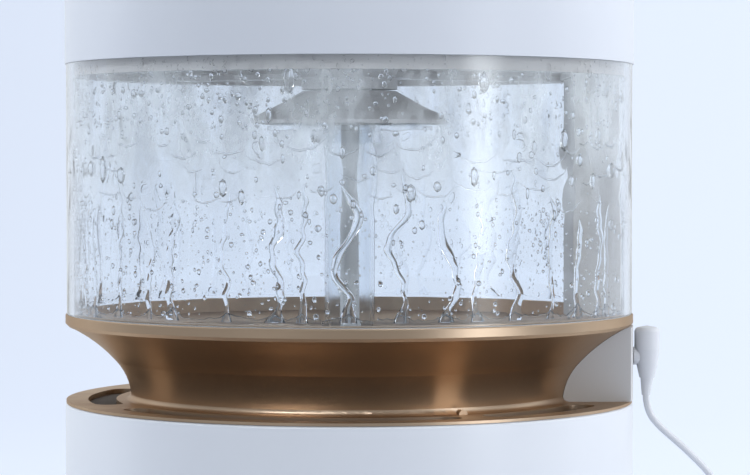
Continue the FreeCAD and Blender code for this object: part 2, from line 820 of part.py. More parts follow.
def make_motor_pod():
    """The sealed can in the middle of the ceiling, the lift motor in it, its lid and the shaft seal."""
    inside = "pod_radius - pod_wall"
    pod = turned(
        "pod",
        [
            ("7", "pod_foot"),
            ("pod_radius", "pod_foot"),
            ("pod_radius", "ceiling_foot + ceiling_thick"),
            ("pod_radius + 5", "ceiling_foot + ceiling_thick"),
            ("pod_radius + 5", "ceiling_foot + ceiling_thick + 2"),
            ("pod_radius", "ceiling_foot + ceiling_thick + 2"),
            ("pod_radius", "pod_top"),
            (inside, "pod_top"),
            (inside, "pod_top - 24"),
            ("16", "pod_top - 24"),
            ("16", "pod_top - 28"),
            (inside, "pod_top - 28"),
            (inside, "pod_foot + 3"),
            ("7", "pod_foot + 3"),
        ],
    )
    keep(pod, "motor_pod")
    keep(ring("pod_lid_disc", "3", "pod_radius", "pod_top", "pod_top + 1.8"), "pod_lid")
    keep(ring("shaft_seal_ring", "shaft_radius + 0.06", "7", "pod_foot", "pod_foot + 3"), "shaft_seal")
    motor = turned(
        "lift_motor_can",
        [
            ("2.56", "pod_top - 30"),
            ("9", "pod_top - 30"),
            ("9", "pod_top - 28"),
            ("16", "pod_top - 28"),
            ("16", "pod_top - 2"),
            ("14", "pod_top"),
            ("2.56", "pod_top"),
        ],
    )
    keep(motor, "lift_motor")


# ---- The rotor: pivot shaft, lift pipe, pump paddles, spray disc and canopy ----


def make_rotor():
    floor = "foot_height + base_thick + basin_wall"
    shaft = turned(
        "shaft",
        [
            ("0", floor + " + 2"),
            ("pivot_radius", floor + " + 2"),
            ("pivot_radius", floor + " + 12"),
            ("shaft_radius", floor + " + 14"),
            ("shaft_radius", "pod_foot + 8"),
            ("2.5", "pod_foot + 8"),
            ("2.5", "pod_top - 4"),
            ("0", "pod_top - 4"),
        ],
    )
    keep(shaft, "drive_shaft")
    keep(ring("pipe", "pipe_inner", "pipe_outer", "pipe_foot", "pipe_top"), "lift_pipe")
    paddles = [ring("pump_hub", "shaft_radius", "6.2", "pipe_foot + 2", "pipe_foot + 20")]
    for i in range(4):
        paddle = doc.addObject("Part::Box", f"paddle_{i}")
        bind(paddle, Length="pipe_inner - 5.2", Width="1.4", Height="16")
        swing = Rotation(Vector(0, 0, 1), 90 * i)
        offset = swing.multVec(Vector(5.2, -0.7, 0)) + Vector(0, 0, amount("pipe_foot + 3"))
        paddle.Placement = Placement(offset, swing)
        paddles.append(paddle)
    bore = cylinder("pump_limit", "pipe_inner", "30", z="pipe_foot")
    keep(common("pump_common", [fuse("pump_fused", paddles), bore]), "pump_paddles")


def make_spray_head():
    """The canopy cone under the motor pod, and the vaned disc below it that throws the water outwards."""
    canopy = turned(
        "canopy",
        [
            ("shaft_radius", "canopy_top - 10"),
            ("8", "canopy_top - 10"),
            ("8", "canopy_top - 2"),
            ("20.4", "canopy_top - 2"),
            ("36.4", "canopy_foot + 4"),
            ("canopy_radius - 2", "canopy_foot + 0.4"),
            ("canopy_radius - 1.8", "canopy_foot - 0.8"),
            ("canopy_radius", "canopy_foot - 0.8"),
            ("canopy_radius", "canopy_foot + 0.8"),
            ("37.4", "canopy_foot + 5.6", "16"),
            ("21.6", "canopy_top"),
            ("shaft_radius", "canopy_top"),
        ],
    )
    keep(canopy, "spray_canopy")
    foot = "pipe_top - disc_thick"
    parts = [ring("disc_plate", "pipe_outer", "disc_radius", foot, "pipe_top")]
    parts.append(ring("disc_hub", "pipe_outer", "pipe_outer + 3", foot + " - 6", foot))
    for i in range(VANE_COUNT):
        vane = doc.addObject("Part::Box", f"vane_{i}")
        bind(vane, Length="disc_radius - 16", Width="1.2", Height="canopy_foot - pipe_top + 0.4")
        swing = Rotation(Vector(0, 0, 1), 360 / VANE_COUNT * i)
        offset = swing.multVec(Vector(15, -0.6, 0))
        vane.Placement = Placement(offset + Vector(0, 0, amount("pipe_top")), swing)
        parts.append(vane)
    keep(fuse("disc_fused", parts), "spray_disc")


# ---- The fan: duct, spider, motor and wheel ----


def make_duct():
    duct = turned(
        "duct",
        [
            ("duct_inner", "duct_foot"),
            ("body_radius - shell_wall - 0.3", "duct_foot"),
            ("body_radius - shell_wall - 0.3", "duct_foot + 2"),
            ("duct_outer", "duct_foot + 2"),
            ("duct_outer", "duct_top"),
            ("duct_inner", "duct_top"),
        ],
    )
    way = box("duct_way", "8", "14", "12", "116", "-7", "duct_foot - 4")
    keep(cut("duct_cut", duct, [way]), "fan_duct")
    screws = []
    for i in range(4):
        x, y = polar(45 + 90 * i, "120")
        screws.append(cylinder(f"duct_screw_{i}", "3", "2.4", x, y, "duct_foot + 2"))
    keep(group("duct_screw_group", screws), "duct_screws")


def make_fan_spider():
    """Four arms across the duct that carry the fan motor."""
    parts = [ring("spider_plate", "6", "22", "duct_foot + 0.4", "duct_foot + 3.4")]
    for i in range(4):
        arm = doc.addObject("Part::Box", f"spider_arm_{i}")
        bind(arm, Length="duct_inner - 20.2", Width="7", Height="3")
        swing = Rotation(Vector(0, 0, 1), 45 + 90 * i)
        offset = swing.multVec(Vector(20, -3.5, 0))
        arm.Placement = Placement(offset + Vector(0, 0, amount("duct_foot + 0.4")), swing)
        parts.append(arm)
    keep(fuse("spider_fused", parts), "fan_spider")
    motor = turned(
        "fan_motor_can",
        [
            ("2.06", "duct_foot + 3.4"),
            ("21", "duct_foot + 3.4"),
            ("21", "duct_foot + 17"),
            ("8", "duct_foot + 18"),
            ("8", "duct_foot + 21"),
            ("2.06", "duct_foot + 21"),
        ],
    )
    keep(motor, "fan_motor")


def blade_section(reach, chord, pitch, level):
    """A thin closed strip across the blade at one radius, leaning by its pitch."""
    lean = math.radians(pitch)
    along = Vector(0, math.cos(lean), math.sin(lean))
    across = Vector(0, -math.sin(lean), math.cos(lean))
    middle = Vector(reach, 0, level)
    corners = []
    for share, thick, camber in ((-0.5, 0.5, 0.0), (0.0, 0.9, 2.2), (0.5, 0.5, 0.0)):
        corners.append(middle + along * (share * chord) + across * (camber + thick))
    for share, thick, camber in ((0.5, 0.5, 0.0), (0.0, 0.9, 2.2), (-0.5, 0.5, 0.0)):
        corners.append(middle + along * (share * chord) + across * (camber - thick))
    top = Part.Arc(corners[0], corners[1], corners[2]).toShape()
    nose = Part.LineSegment(corners[2], corners[3]).toShape()
    under = Part.Arc(corners[3], corners[4], corners[5]).toShape()
    tail = Part.LineSegment(corners[5], corners[0]).toShape()
    return Part.Wire([top, nose, under, tail])


def make_fan_wheel():
    """The hub cup over the motor with seven twisted blades, and the spindle that it is pressed on."""
    top, foot = "duct_foot + 28", "duct_foot + 8"
    hub = turned(
        "hub_cup",
        [
            ("2", "duct_foot + 22"),
            ("6", "duct_foot + 22"),
            ("6", top + " - 3"),
            ("hub_radius - 3", top + " - 3"),
            ("hub_radius - 3", foot),
            ("hub_radius", foot),
            ("hub_radius", top + " - 2"),
            ("hub_radius - 2", top, "2"),
            ("2", top),
        ],
    )
    level = amount(foot + " + 9.5")
    sections = [
        blade_section(amount("hub_radius - 2"), 24.0, 40.0, level),
        blade_section(0.5 * amount("hub_radius + blade_tip"), 36.0, 30.0, level),
        blade_section(amount("blade_tip"), 42.0, 24.0, level),
    ]
    blade = Part.makeLoft(sections, True)
    blades = []
    for i in range(BLADE_COUNT):
        copy = blade.copy()
        copy.rotate(Vector(), Vector(0, 0, 1), 360 / BLADE_COUNT * i)
        blades.append(shaped(f"blade_{i}", copy))
    keep(fuse("wheel_fused", [hub] + blades), "fan_wheel")
    keep(cylinder("spindle", "2", "22", z="duct_foot + 5"), "fan_spindle")


# ---- The head: shell, trim, outlet grille, control housing, panel and button ----


def make_head_shell():
    """The white upper drum with its rounded shoulder and the recess that the outlet grille drops into."""
    inner = "body_radius - shell_wall"
    shell = turned(
        "head_drum",
        [
            ("body_radius", "window_top"),
            ("body_radius", "head_top - head_round"),
            ("body_radius - head_round", "head_top", "head_round"),
            ("recess_radius", "head_top"),
            ("recess_radius", "ledge_height"),
            ("recess_radius - 5", "ledge_height"),
            ("recess_radius - 5", "ledge_height - 2"),
            ("recess_radius + 2.4", "ledge_height - 2"),
            ("recess_radius + 2.4", "head_top - shell_wall"),
            ("body_radius - head_round", "head_top - shell_wall"),
            (inner, "head_top - head_round", "-head_round + shell_wall"),
            (inner, "window_top"),
        ],
    )
    keep(shell, "head_shell")
    trim = turned(
        "trim",
        [
            ("grille_outer + 0.3", "ledge_height"),
            ("recess_radius", "ledge_height"),
            ("recess_radius", "head_top + 0.2"),
            ("recess_radius - 0.6", "head_top + 0.5"),
            ("grille_outer + 0.3", "head_top + 0.5"),
        ],
    )
    keep(trim, "trim_ring")


def make_grille():
    """The lift-out ring of radial fins in the air outlet."""
    body = turned(
        "grille_rim",
        [
            ("grille_outer - 3", "ledge_height"),
            ("grille_outer", "ledge_height"),
            ("grille_outer", "grille_top"),
            ("grille_outer - 3", "grille_top"),
        ],
    )
    collar = ring("grille_collar", "grille_inner", "grille_inner + 2.6", "ledge_height", "grille_top")
    long = "grille_outer - grille_inner - 4"
    fin = doc.addObject("Part::Box", "grille_fin")
    bind(fin, Length=long, Width="1.5", Height="grille_top - ledge_height - 1")
    place(fin, "grille_inner + 2", "-0.75", "ledge_height + 0.5")
    doc.recompute()
    fins = []
    for i in range(FIN_COUNT):
        copy = fin.Shape.copy()
        copy.rotate(Vector(), Vector(0, 0, 1), 360 / FIN_COUNT * i)
        fins.append(copy)
    whole = body.Shape.fuse([collar.Shape] + fins)
    keep(shaped("grille_whole", whole), "outlet_grille")


def make_controls():
    """The fixed pod in the middle of the outlet: housing on three arms, circuit board, panel and button."""
    foot = "ledge_height - 18"
    bowl = turned(
        "control_bowl",
        [
            ("0", foot),
            ("40", foot),
            ("grille_inner - 0.6", foot + " + 14"),
            ("grille_inner - 0.6", "panel_foot + 2"),
            ("panel_radius + 0.3", "panel_foot + 2"),
            ("panel_radius + 0.3", "panel_foot"),
            ("panel_radius - 2", "panel_foot"),
            ("panel_radius - 2", foot + " + 14.6"),
            ("38.6", foot + " + 2"),
            ("0", foot + " + 2"),
        ],
    )
    arms = []
    for i in range(3):
        arm = doc.addObject("Part::Box", f"control_arm_{i}")
        bind(arm, Length="body_radius - shell_wall - 0.3 - 46", Width="12", Height="5")
        swing = Rotation(Vector(0, 0, 1), 120 * i)
        offset = swing.multVec(Vector(46, -6, 0)) + Vector(0, 0, amount(foot + " + 6"))
        arm.Placement = Placement(offset, swing)
        arms.append(arm)
    limit = cylinder("arm_limit", "body_radius - shell_wall - 0.3", "60", z="duct_top")
    arm_set = common("arm_common", [fuse("arm_fused", arms), limit])
    room = cylinder("bowl_room", "50", "3", z=foot + " + 13")
    whole = cut("control_cut", fuse("control_fused", [bowl, arm_set]), [room])
    way = box("cable_way", "24", "5.2", "12", "38", "-2.6", foot)
    posts = []
    for i in range(3):
        x, y = polar(60 + 120 * i, "36")
        posts.append(cylinder(f"board_post_{i}", "2.5", "13.7", x, y, foot + " + 1.5"))
    keep(fuse("control_whole", [cut("control_way", whole, [way])] + posts), "control_housing")
    board = ring("board", "2", "46", foot + " + 15.2", foot + " + 16.8")
    keep(board, "control_board")
    switch = box("switch", "6", "6", "3", "-3", "-3", foot + " + 16.8")
    keep(switch, "tact_switch")
    hole = "button_radius + 2.4"
    panel = ring("panel", hole, "panel_radius", "panel_foot", "head_top - 1")
    lens_pocket = box("lens_pocket", "26", "13", "0.8", "-13", "-40", "head_top - 1.8")
    keep(cut("panel_cut", panel, [lens_pocket]), "control_panel")
    keep(box("lens", "25.6", "12.6", "0.8", "-12.8", "-39.8", "head_top - 1.8"), "display_lens")
    glow = ring("glow", "button_radius + 0.3", hole, "panel_foot", "head_top - 0.8")
    keep(glow, "glow_ring")
    stem_foot = foot + " + 21.1"
    button = turned(
        "button",
        [
            ("0", stem_foot),
            ("1.6", stem_foot),
            ("1.6", "button_top - 2.2"),
            ("button_radius - 2", "button_top - 2.2"),
            ("button_radius - 2", "panel_foot - 1.6"),
            ("button_radius + 1.6", "panel_foot - 1.6"),
            ("button_radius + 1.6", "panel_foot - 0.3"),
            ("button_radius", "panel_foot - 0.3"),
            ("button_radius", "button_top - 0.6"),
            ("button_radius - 0.6", "button_top"),
            ("0", "button_top - 0.5"),
        ],
    )
    keep(button, "power_button")
    spring_foot, spring_top = amount(foot + " + 16.8"), amount("button_top - 2.2")
    turns = 3.0
    helix = Part.makeHelix((spring_top - spring_foot - 1.2) / turns, spring_top - spring_foot - 1.2, 5.6)
    helix.translate(Vector(0, 0, spring_foot + 0.6))
    profile = Part.Circle(Vector(5.6, 0, spring_foot + 0.6), Vector(0, 1, 0), 0.4)
    coil = Part.Wire(helix.Edges).makePipeShell([Part.Wire([profile.toShape()])], True, True)
    keep(shaped("return_spring", coil), "button_spring")


def make_harness():
    """The jacketed cable that runs from the contacts up the riser and under an arm to the control board."""
    points = [
        (114.0, 17.0, 232.6),
        (114.0, 17.0, 244.0),
        (113.8, 14.4, 262.0),
        (112.5, 9.0, 285.0),
        (111.0, 3.5, 312.0),
        (112.0, 0.8, 336.0),
        (118.0, 0.0, 353.0),
        (121.2, 0.4, 374.0),
        (121.4, 0.0, 398.0),
        (117.5, -0.2, 412.8),
        (98.0, 0.4, 413.3),
        (79.0, -0.3, 413.0),
        (61.0, 0.3, 412.9),
        (50.0, 0.0, 415.2),
        (43.0, 0.0, 420.4),
    ]
    keep(tube("harness_tube", points, 1.9), "riser_harness")


# ---- The power lead: plug, strain relief, cord, coil and adapter ----


def make_plug():
    """The round-headed right-angle plug that stands at the riser's foot with its barrel in the socket."""
    foot = "socket_height - 10"
    head = doc.addObject("PartDesign::Body", "plug_head")
    sketch_in(
        head,
        "XZ_Plane",
        "plug_outline",
        [
            ("0", foot),
            ("3.5", foot),
            ("5", foot + " + 7"),
            ("5.8", foot + " + 13"),
            ("5.8", foot + " + 21.2"),
            ("4.4", foot + " + 23.2", "2.4"),
            ("0", foot + " + 24"),
        ],
    )
    turn = head.newObject("PartDesign::Revolution", "plug_turn")
    turn.Profile = head.Group[0]
    turn.ReferenceAxis = (head.Group[0], ["V_Axis"])
    turn.Angle = 360
    head.setExpression(".Placement.Base.x", linked("plug_reach"))
    lying = ((0, 1, 0), 90)
    collar = cylinder("plug_collar", "4.1", "6", "body_radius + 0.6", "0", "socket_height", lying)
    solid = fuse("plug_fused", [head, collar])
    hole = cylinder("barrel_hole", "2.7", "4", "body_radius + 0.5", "0", "socket_height", lying)
    keep(cut("plug_cut", solid, [hole]), "dc_plug")
    sleeve = cylinder("barrel", "2.7", "14", "body_radius - 9.5", "0", "socket_height", lying)
    bore = cylinder("barrel_bore", "1.25", "10", "body_radius - 9.5", "0", "socket_height", lying)
    keep(cut("barrel_cut", sleeve, [bore]), "plug_barrel")
    top = Vector(*LEAD_ROUTE[0])
    high = Vector(amount("plug_reach"), 0, amount(foot))
    wide = Part.Wire([Part.Circle(high, Vector(0, 0, 1), 3.0).toShape()])
    slim = Part.Wire([Part.Circle(top, Vector(0, 0, 1), 2.0).toShape()])
    keep(shaped("plug_taper", Part.makeLoft([wide, slim], True)), "plug_relief")


def make_cord():
    keep(tube("cord_tube", LEAD_ROUTE, SIZES["cord_radius"]), "power_cord")
    coil = doc.addObject("Part::Torus", "coil_torus")
    bind(coil, Radius1="coil_radius", Radius2="coil_bundle")
    place(coil, str(COIL_PLACE[0]), str(COIL_PLACE[1]), "coil_bundle")
    tie_band = doc.addObject("Part::Torus", "tie_torus")
    bind(tie_band, Radius1="coil_bundle - 0.4", Radius2="0.4")
    lying = ((0, 1, 0), 90)
    place(tie_band, str(COIL_PLACE[0]), f"{COIL_PLACE[1]} - coil_radius", "coil_bundle", lying)
    keep(coil, "cord_coil")
    keep(tie_band, "cord_tie")
    keep(tube("adapter_tube", ADAPTER_ROUTE, SIZES["cord_radius"]), "adapter_lead")


def make_adapter():
    """The wall adapter that lies on the floor by the coil: case, strain relief and two round pins."""
    x, y = CASE_PLACE
    case = box("case_box", "case_long", "case_wide", "case_tall", str(x), str(y), "0")
    doc.recompute()
    rounded = doc.addObject("Part::Fillet", "case_round")
    rounded.Base = case
    rounded.Edges = [(i + 1, 3.0, 3.0) for i in range(len(case.Shape.Edges))]
    keep(rounded, "adapter_case")
    end = Vector(*ADAPTER_ROUTE[-1])
    run = (end - Vector(*ADAPTER_ROUTE[-2])).normalize()
    seat = Vector(x + amount("case_long"), end.y + run.y * 6, end.z + 1.5)
    slim = Part.Wire([Part.Circle(end, run, 2.0).toShape()])
    wide = Part.Wire([Part.Circle(seat, Vector(-1, 0, 0), 3.6).toShape()])
    relief = Part.makeLoft([slim, wide], True)
    keep(shaped("relief_taper", relief), "adapter_relief")
    pins = []
    lying = ((0, 1, 0), -90)
    for i, across in enumerate((-9.5, 9.5)):
        beside = f"{y + across} + 0.5*case_wide"
        pins.append(cylinder(f"mains_pin_{i}", "2", "19", str(x), beside, "0.5*case_tall", lying))
    keep(group("mains_pin_group", pins), "mains_pins")


for make in (
    make_tank_shell,
    make_feet,
    make_basin,
    make_sump_bush,
    make_level_gauge,
    make_waist,
    make_inlet_filter,
    make_rim,
    make_riser_foot,
    make_socket,
    make_contact_tower,
    make_window,
    make_riser,
    make_ceiling,
    make_drop_catcher,
    make_motor_pod,
    make_rotor,
    make_spray_head,
    make_duct,
    make_fan_spider,
    make_fan_wheel,
    make_head_shell,
    make_grille,
    make_controls,
    make_harness,
    make_plug,
    make_cord,
    make_adapter,
):
    make()
doc.recompute()

for thing in doc.Objects:
    if {"Invalid", "Error"} & set(thing.State):
        raise RuntimeError(f"{thing.Label} did not compute: {thing.State}")
for thing in nodes:
    if thing.Shape.isNull() or not thing.Shape.isValid() or not thing.Shape.Solids:
        raise RuntimeError(f"{thing.Label} has no valid solid")

os.makedirs("parts", exist_ok=True)
for thing in nodes:
    thing.Shape.exportStep(f"parts/{thing.Label}.step")
    print(f"{thing.Label}: {len(thing.Shape.Solids)} solids, {thing.Shape.Volume / 1000:.2f} cm3")
print(len(nodes), "nodes")
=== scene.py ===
import bmesh
import bpy
import math
import random
from mathutils import Matrix, Vector, noise


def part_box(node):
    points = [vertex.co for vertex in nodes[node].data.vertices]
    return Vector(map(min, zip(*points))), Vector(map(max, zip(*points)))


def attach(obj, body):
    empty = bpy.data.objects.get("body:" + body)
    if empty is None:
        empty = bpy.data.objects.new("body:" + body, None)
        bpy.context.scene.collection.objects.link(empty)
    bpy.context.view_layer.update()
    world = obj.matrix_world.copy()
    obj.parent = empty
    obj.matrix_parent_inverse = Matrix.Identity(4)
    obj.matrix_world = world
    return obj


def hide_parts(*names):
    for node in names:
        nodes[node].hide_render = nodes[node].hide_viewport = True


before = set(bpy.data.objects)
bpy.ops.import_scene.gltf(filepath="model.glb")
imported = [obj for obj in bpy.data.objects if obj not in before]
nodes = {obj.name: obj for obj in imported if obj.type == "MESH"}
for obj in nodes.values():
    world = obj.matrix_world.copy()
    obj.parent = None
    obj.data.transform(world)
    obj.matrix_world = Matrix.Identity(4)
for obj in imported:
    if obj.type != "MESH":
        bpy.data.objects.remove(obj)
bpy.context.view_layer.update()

scene = bpy.context.scene


# ---- Camera and studio ----
# The tower stands on a pale floor that curves up into a bright wall; floor and wall glow, and the glow is
# painted light that grows brighter from left to right. Tall soft lights stand at its sides, a narrow one at
# the front right, and wide ones in front and above. The camera is level with the clear chamber.

camera_data = bpy.data.cameras.new("camera")
camera_data.lens = 128.5
camera_data.sensor_width = 36.0
camera_data.clip_end = 50.0
camera = bpy.data.objects.new("camera", camera_data)
camera.location = (0.0117, -1.2316, 0.2858)
camera.rotation_euler = (math.radians(90.0 - 1.55), 0.0, 0.0)
scene.collection.objects.link(camera)
scene.camera = camera
scene.view_settings.view_transform = "Standard"


def shader_node(tree, kind, inputs=(), **settings):
    """Adds a node, sets its properties, and sets each input to a value or links a socket to it."""
    made = tree.nodes.new(kind)
    for name, value in settings.items():
        setattr(made, name, value)
    for name, value in dict(inputs).items():
        if isinstance(value, bpy.types.NodeSocket):
            tree.links.new(value, made.inputs[name])
        else:
            made.inputs[name].default_value = value
    return made


def soft_light(name, place, target, width, height, power, colour):
    """A rectangular soft light that faces a point."""
    data = bpy.data.lights.new(name, "AREA")
    data.shape, data.size, data.size_y = "RECTANGLE", width, height
    data.energy, data.color = power, colour
    light = bpy.data.objects.new(name, data)
    light.location = place
    light.rotation_euler = (Vector(target) - Vector(place)).to_track_quat("-Z", "Y").to_euler()
    light.visible_glossy = False
    light.visible_transmission = False
    light.visible_camera = False
    scene.collection.objects.link(light)


aim = (0.0, 0.0, 0.25)
soft_light("left_box", (-1.35, 0.35, 0.55), aim, 0.7, 1.6, 16.0, (0.91, 0.95, 1.0))
soft_light("right_box", (1.45, 0.25, 0.55), aim, 0.8, 1.6, 15.0, (0.93, 0.96, 1.0))
soft_light("front_strip", (1.05, -0.72, 0.45), aim, 0.16, 1.3, 3.0, (1.0, 0.99, 0.97))
soft_light("front_fill", (0.25, -1.9, 0.75), aim, 1.6, 1.2, 3.0, (0.97, 0.98, 1.0))
soft_light("top_box", (0.0, -0.3, 1.9), aim, 1.4, 1.4, 10.0, (0.93, 0.96, 1.0))

room = bpy.data.worlds.new("room")
room.use_nodes = True
sky = room.node_tree
sky.nodes.clear()
seen = shader_node(sky, "ShaderNodeBackground", {"Color": (0.76, 0.84, 0.96, 1.0), "Strength": 1.0})
heading = shader_node(sky, "ShaderNodeTexCoord")
axes = shader_node(sky, "ShaderNodeSeparateXYZ", {"Vector": heading.outputs["Generated"]})
forward = shader_node(sky, "ShaderNodeMath", {0: axes.outputs["Y"], 1: -1.0}, operation="MULTIPLY")
azimuth = shader_node(
    sky,
    "ShaderNodeMath",
    {0: axes.outputs["X"], 1: forward.outputs[0]},
    operation="ARCTAN2",
)
round_way = shader_node(
    sky,
    "ShaderNodeMapRange",
    {"Value": azimuth.outputs[0], "From Min": -math.pi, "From Max": math.pi},
)
shade = shader_node(sky, "ShaderNodeValToRGB", {"Fac": round_way.outputs["Result"]})
shade.color_ramp.interpolation = "EASE"
WALLS = [
    (-180, 0.85),
    (-140, 0.95),
    (-116, 0.80),
    (-98, 0.42),
    (-50, 0.36),
    (-28, 0.46),
    (-14, 0.34),
    (24, 0.34),
    (42, 0.42),
    (54, 3.60),
    (68, 0.46),
    (90, 0.46),
    (112, 0.95),
    (180, 0.85),
]
while len(shade.color_ramp.elements) < len(WALLS):
    shade.color_ramp.elements.new(0.5)
for stop, (bearing, bright_part) in zip(shade.color_ramp.elements, WALLS):
    stop.position = (bearing + 180.0) / 360.0
    stop.color = (bright_part * 0.93, bright_part * 0.97, bright_part, 1.0)
patch_way = Vector((-0.42, -0.62, 0.66)).normalized()
toward = shader_node(
    sky,
    "ShaderNodeVectorMath",
    {0: heading.outputs["Generated"], 1: patch_way},
    operation="DOT_PRODUCT",
)
patch_edge = shader_node(
    sky,
    "ShaderNodeMapRange",
    {"Value": toward.outputs["Value"], "From Min": 0.984, "From Max": 0.990, "To Max": 20.0},
)
bright_sky = shader_node(sky, "ShaderNodeMath", {0: patch_edge.outputs["Result"], 1: 1.0}, operation="ADD")
below = shader_node(
    sky, "ShaderNodeMapRange", {"Value": axes.outputs["Z"], "From Min": -0.62, "From Max": -0.88}
)
floor_tone = shader_node(sky, "ShaderNodeMix", {0: below.outputs["Result"]}, data_type="RGBA")
floor_tone.inputs[7].default_value = (0.42, 0.42, 0.43, 1.0)
sky.links.new(shade.outputs["Color"], floor_tone.inputs[6])
felt = shader_node(
    sky,
    "ShaderNodeBackground",
    {"Color": floor_tone.outputs[2], "Strength": bright_sky.outputs[0]},
)
ray = shader_node(sky, "ShaderNodeLightPath")
either = shader_node(sky, "ShaderNodeMixShader", {"Fac": ray.outputs["Is Camera Ray"]})
sky.links.new(felt.outputs[0], either.inputs[1])
sky.links.new(seen.outputs[0], either.inputs[2])
ground = shader_node(sky, "ShaderNodeOutputWorld", {"Surface": either.outputs[0]})
scene.world = room

SWEEP_BACK = 1.6
SWEEP_RADIUS = 1.2
sweep_line = [(-6.0, 0.0), (SWEEP_BACK, 0.0)]
for degrees in range(6, 91, 6):
    tilt = math.radians(degrees)
    sweep_line.append(
        (SWEEP_BACK + SWEEP_RADIUS * math.sin(tilt), SWEEP_RADIUS - SWEEP_RADIUS * math.cos(tilt)),
    )
sweep_line += [(SWEEP_BACK + SWEEP_RADIUS, 5.0)]
sweep_mesh = bpy.data.meshes.new("sweep")
sweep_mesh.from_pydata(
    [(x, y, z) for y, z in sweep_line for x in (-6.0, 6.0)],
    [],
    [(2 * i, 2 * i + 1, 2 * i + 3, 2 * i + 2) for i in range(len(sweep_line) - 1)],
)
sweep_mesh.shade_smooth()
sweep = bpy.data.objects.new("sweep", sweep_mesh)
scene.collection.objects.link(sweep)
sweep_paint = bpy.data.materials.new("sweep_paint")
sweep_paint.use_nodes = True
sweep_paint.node_tree.nodes["Principled BSDF"].inputs["Base Color"].default_value = (0.20, 0.22, 0.26, 1.0)
sweep_paint.node_tree.nodes["Principled BSDF"].inputs["Roughness"].default_value = 0.8
sweep_paint.node_tree.nodes["Principled BSDF"].inputs["Emission Color"].default_value = (
    0.755,
    0.825,
    0.96,
    1.0,
)
sweep_tree = sweep_paint.node_tree
sweep_place = shader_node(sweep_tree, "ShaderNodeTexCoord")
sweep_axes = shader_node(sweep_tree, "ShaderNodeSeparateXYZ", {"Vector": sweep_place.outputs["Object"]})
# The glow is painted light, dimmer on the left and brighter on the right.
sweep_painted_light = shader_node(
    sweep_tree,
    "ShaderNodeMapRange",
    {"Value": sweep_axes.outputs["X"], "From Min": -0.8, "From Max": 0.8, "To Min": 0.66, "To Max": 0.83},
)
sweep_tree.links.new(sweep_painted_light.outputs[0], sweep_tree.nodes["Principled BSDF"].inputs["Emission Strength"])
sweep_mesh.materials.append(sweep_paint)
sweep.visible_glossy = False


# ---- The power lead ----
# A thin soft white lead leaves the foot of the plug, bows out and down to the floor, runs to a tied coil of
# its spare length and ends in the adapter. It is one jacketed cable 3.2 mm across and 1.2 m long.

MM = 0.001
LEAD_ROUTE = [
    (136.6, 0.0, 180.0),
    (137.0, 0.4, 172.5),
    (143.5, 1.8, 164.6),
    (155.0, 4.6, 155.0),
    (169.0, 9.0, 141.0),
    (182.0, 15.0, 120.0),
    (192.0, 22.5, 93.0),
    (199.5, 31.0, 64.0),
    (205.5, 41.0, 36.0),
    (211.5, 53.5, 14.0),
    (214.0, 70.0, 2.8),
    (213.8, 90.0, 1.6),
    (210.2, 108.5, 1.6),
]
ADAPTER_ROUTE = [
    (181.0, 139.2, 4.0),
    (168.0, 142.5, 1.8),
    (153.0, 145.5, 1.6),
    (138.0, 150.5, 4.5),
    (124.0, 155.5, 10.5),
    (112.0, 158.0, 13.2),
]
coil_low, coil_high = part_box("cord_coil")
coil_centre = (coil_low + coil_high) / 2
coil_radius = 18.5 * MM
lead_radius = 1.6 * MM
LAYERS = [(3.2, 1.6), (0.0, 1.6), (-3.2, 1.6), (-1.6, 4.4), (1.6, 4.4), (3.1, 7.1), (0.0, 7.2), (-2.6, 7.2)]
TURNS = 7.325
STEPS_PER_TURN = 16
COIL_START = math.radians(-24.0)


def coil_turns():
    """Points of the coil's turns, which lie beside and on each other and shift over in part of a turn."""
    points = []
    for i in range(round(TURNS * STEPS_PER_TURN) + 1):
        turn = i / STEPS_PER_TURN
        layer = min(int(turn), len(LAYERS) - 2)
        shift = min(1.0, max(0.0, (turn - layer - 0.7) / 0.3))
        shift = shift * shift * (3.0 - 2.0 * shift)
        across = LAYERS[layer][0] + shift * (LAYERS[layer + 1][0] - LAYERS[layer][0])
        height = LAYERS[layer][1] + shift * (LAYERS[layer + 1][1] - LAYERS[layer][1])
        angle = COIL_START + turn * math.tau
        reach = coil_radius + across * MM + 0.3 * MM * math.sin(5.0 * angle + layer)
        points.append(
            (coil_centre.x + reach * math.cos(angle), coil_centre.y + reach * math.sin(angle), height * MM)
        )
    return points


lead_points = [tuple(c * MM for c in p) for p in LEAD_ROUTE[:-1]]
lead_points += coil_turns()
lead_points += [tuple(c * MM for c in p) for p in ADAPTER_ROUTE[1:]]
lead_curve = bpy.data.curves.new("power_lead", "CURVE")
lead_curve.dimensions = "3D"
lead_curve.bevel_depth = 1.0
lead_curve.bevel_resolution = 4
lead_curve.use_fill_caps = True
lead_curve.resolution_u = 6
spline = lead_curve.splines.new("NURBS")
spline.points.add(len(lead_points) - 1)
for point, place in zip(spline.points, lead_points):
    point.co = (*place, 1.0)
    point.radius = lead_radius
spline.order_u = 3
spline.use_endpoint_u = True
lead = bpy.data.objects.new("power_lead", lead_curve)
scene.collection.objects.link(lead)
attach(lead, "root")
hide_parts("power_cord", "cord_coil", "adapter_lead")


# ---- Shared finishes ----
# Two effects that several finishes use: the fine grain of a moulded or sprayed surface, and paler patches
# along sharp raised edges. Each puts out masks and heights only.


def effect_group(name, ins, outs):
    """A shader node group with named float inputs and outputs."""
    tree = bpy.data.node_groups.new(name, "ShaderNodeTree")
    for label, value in ins.items():
        tree.interface.new_socket(label, in_out="INPUT", socket_type="NodeSocketFloat").default_value = value
    for label in outs:
        tree.interface.new_socket(label, in_out="OUTPUT", socket_type="NodeSocketFloat")
    return tree, shader_node(tree, "NodeGroupInput"), shader_node(tree, "NodeGroupOutput")


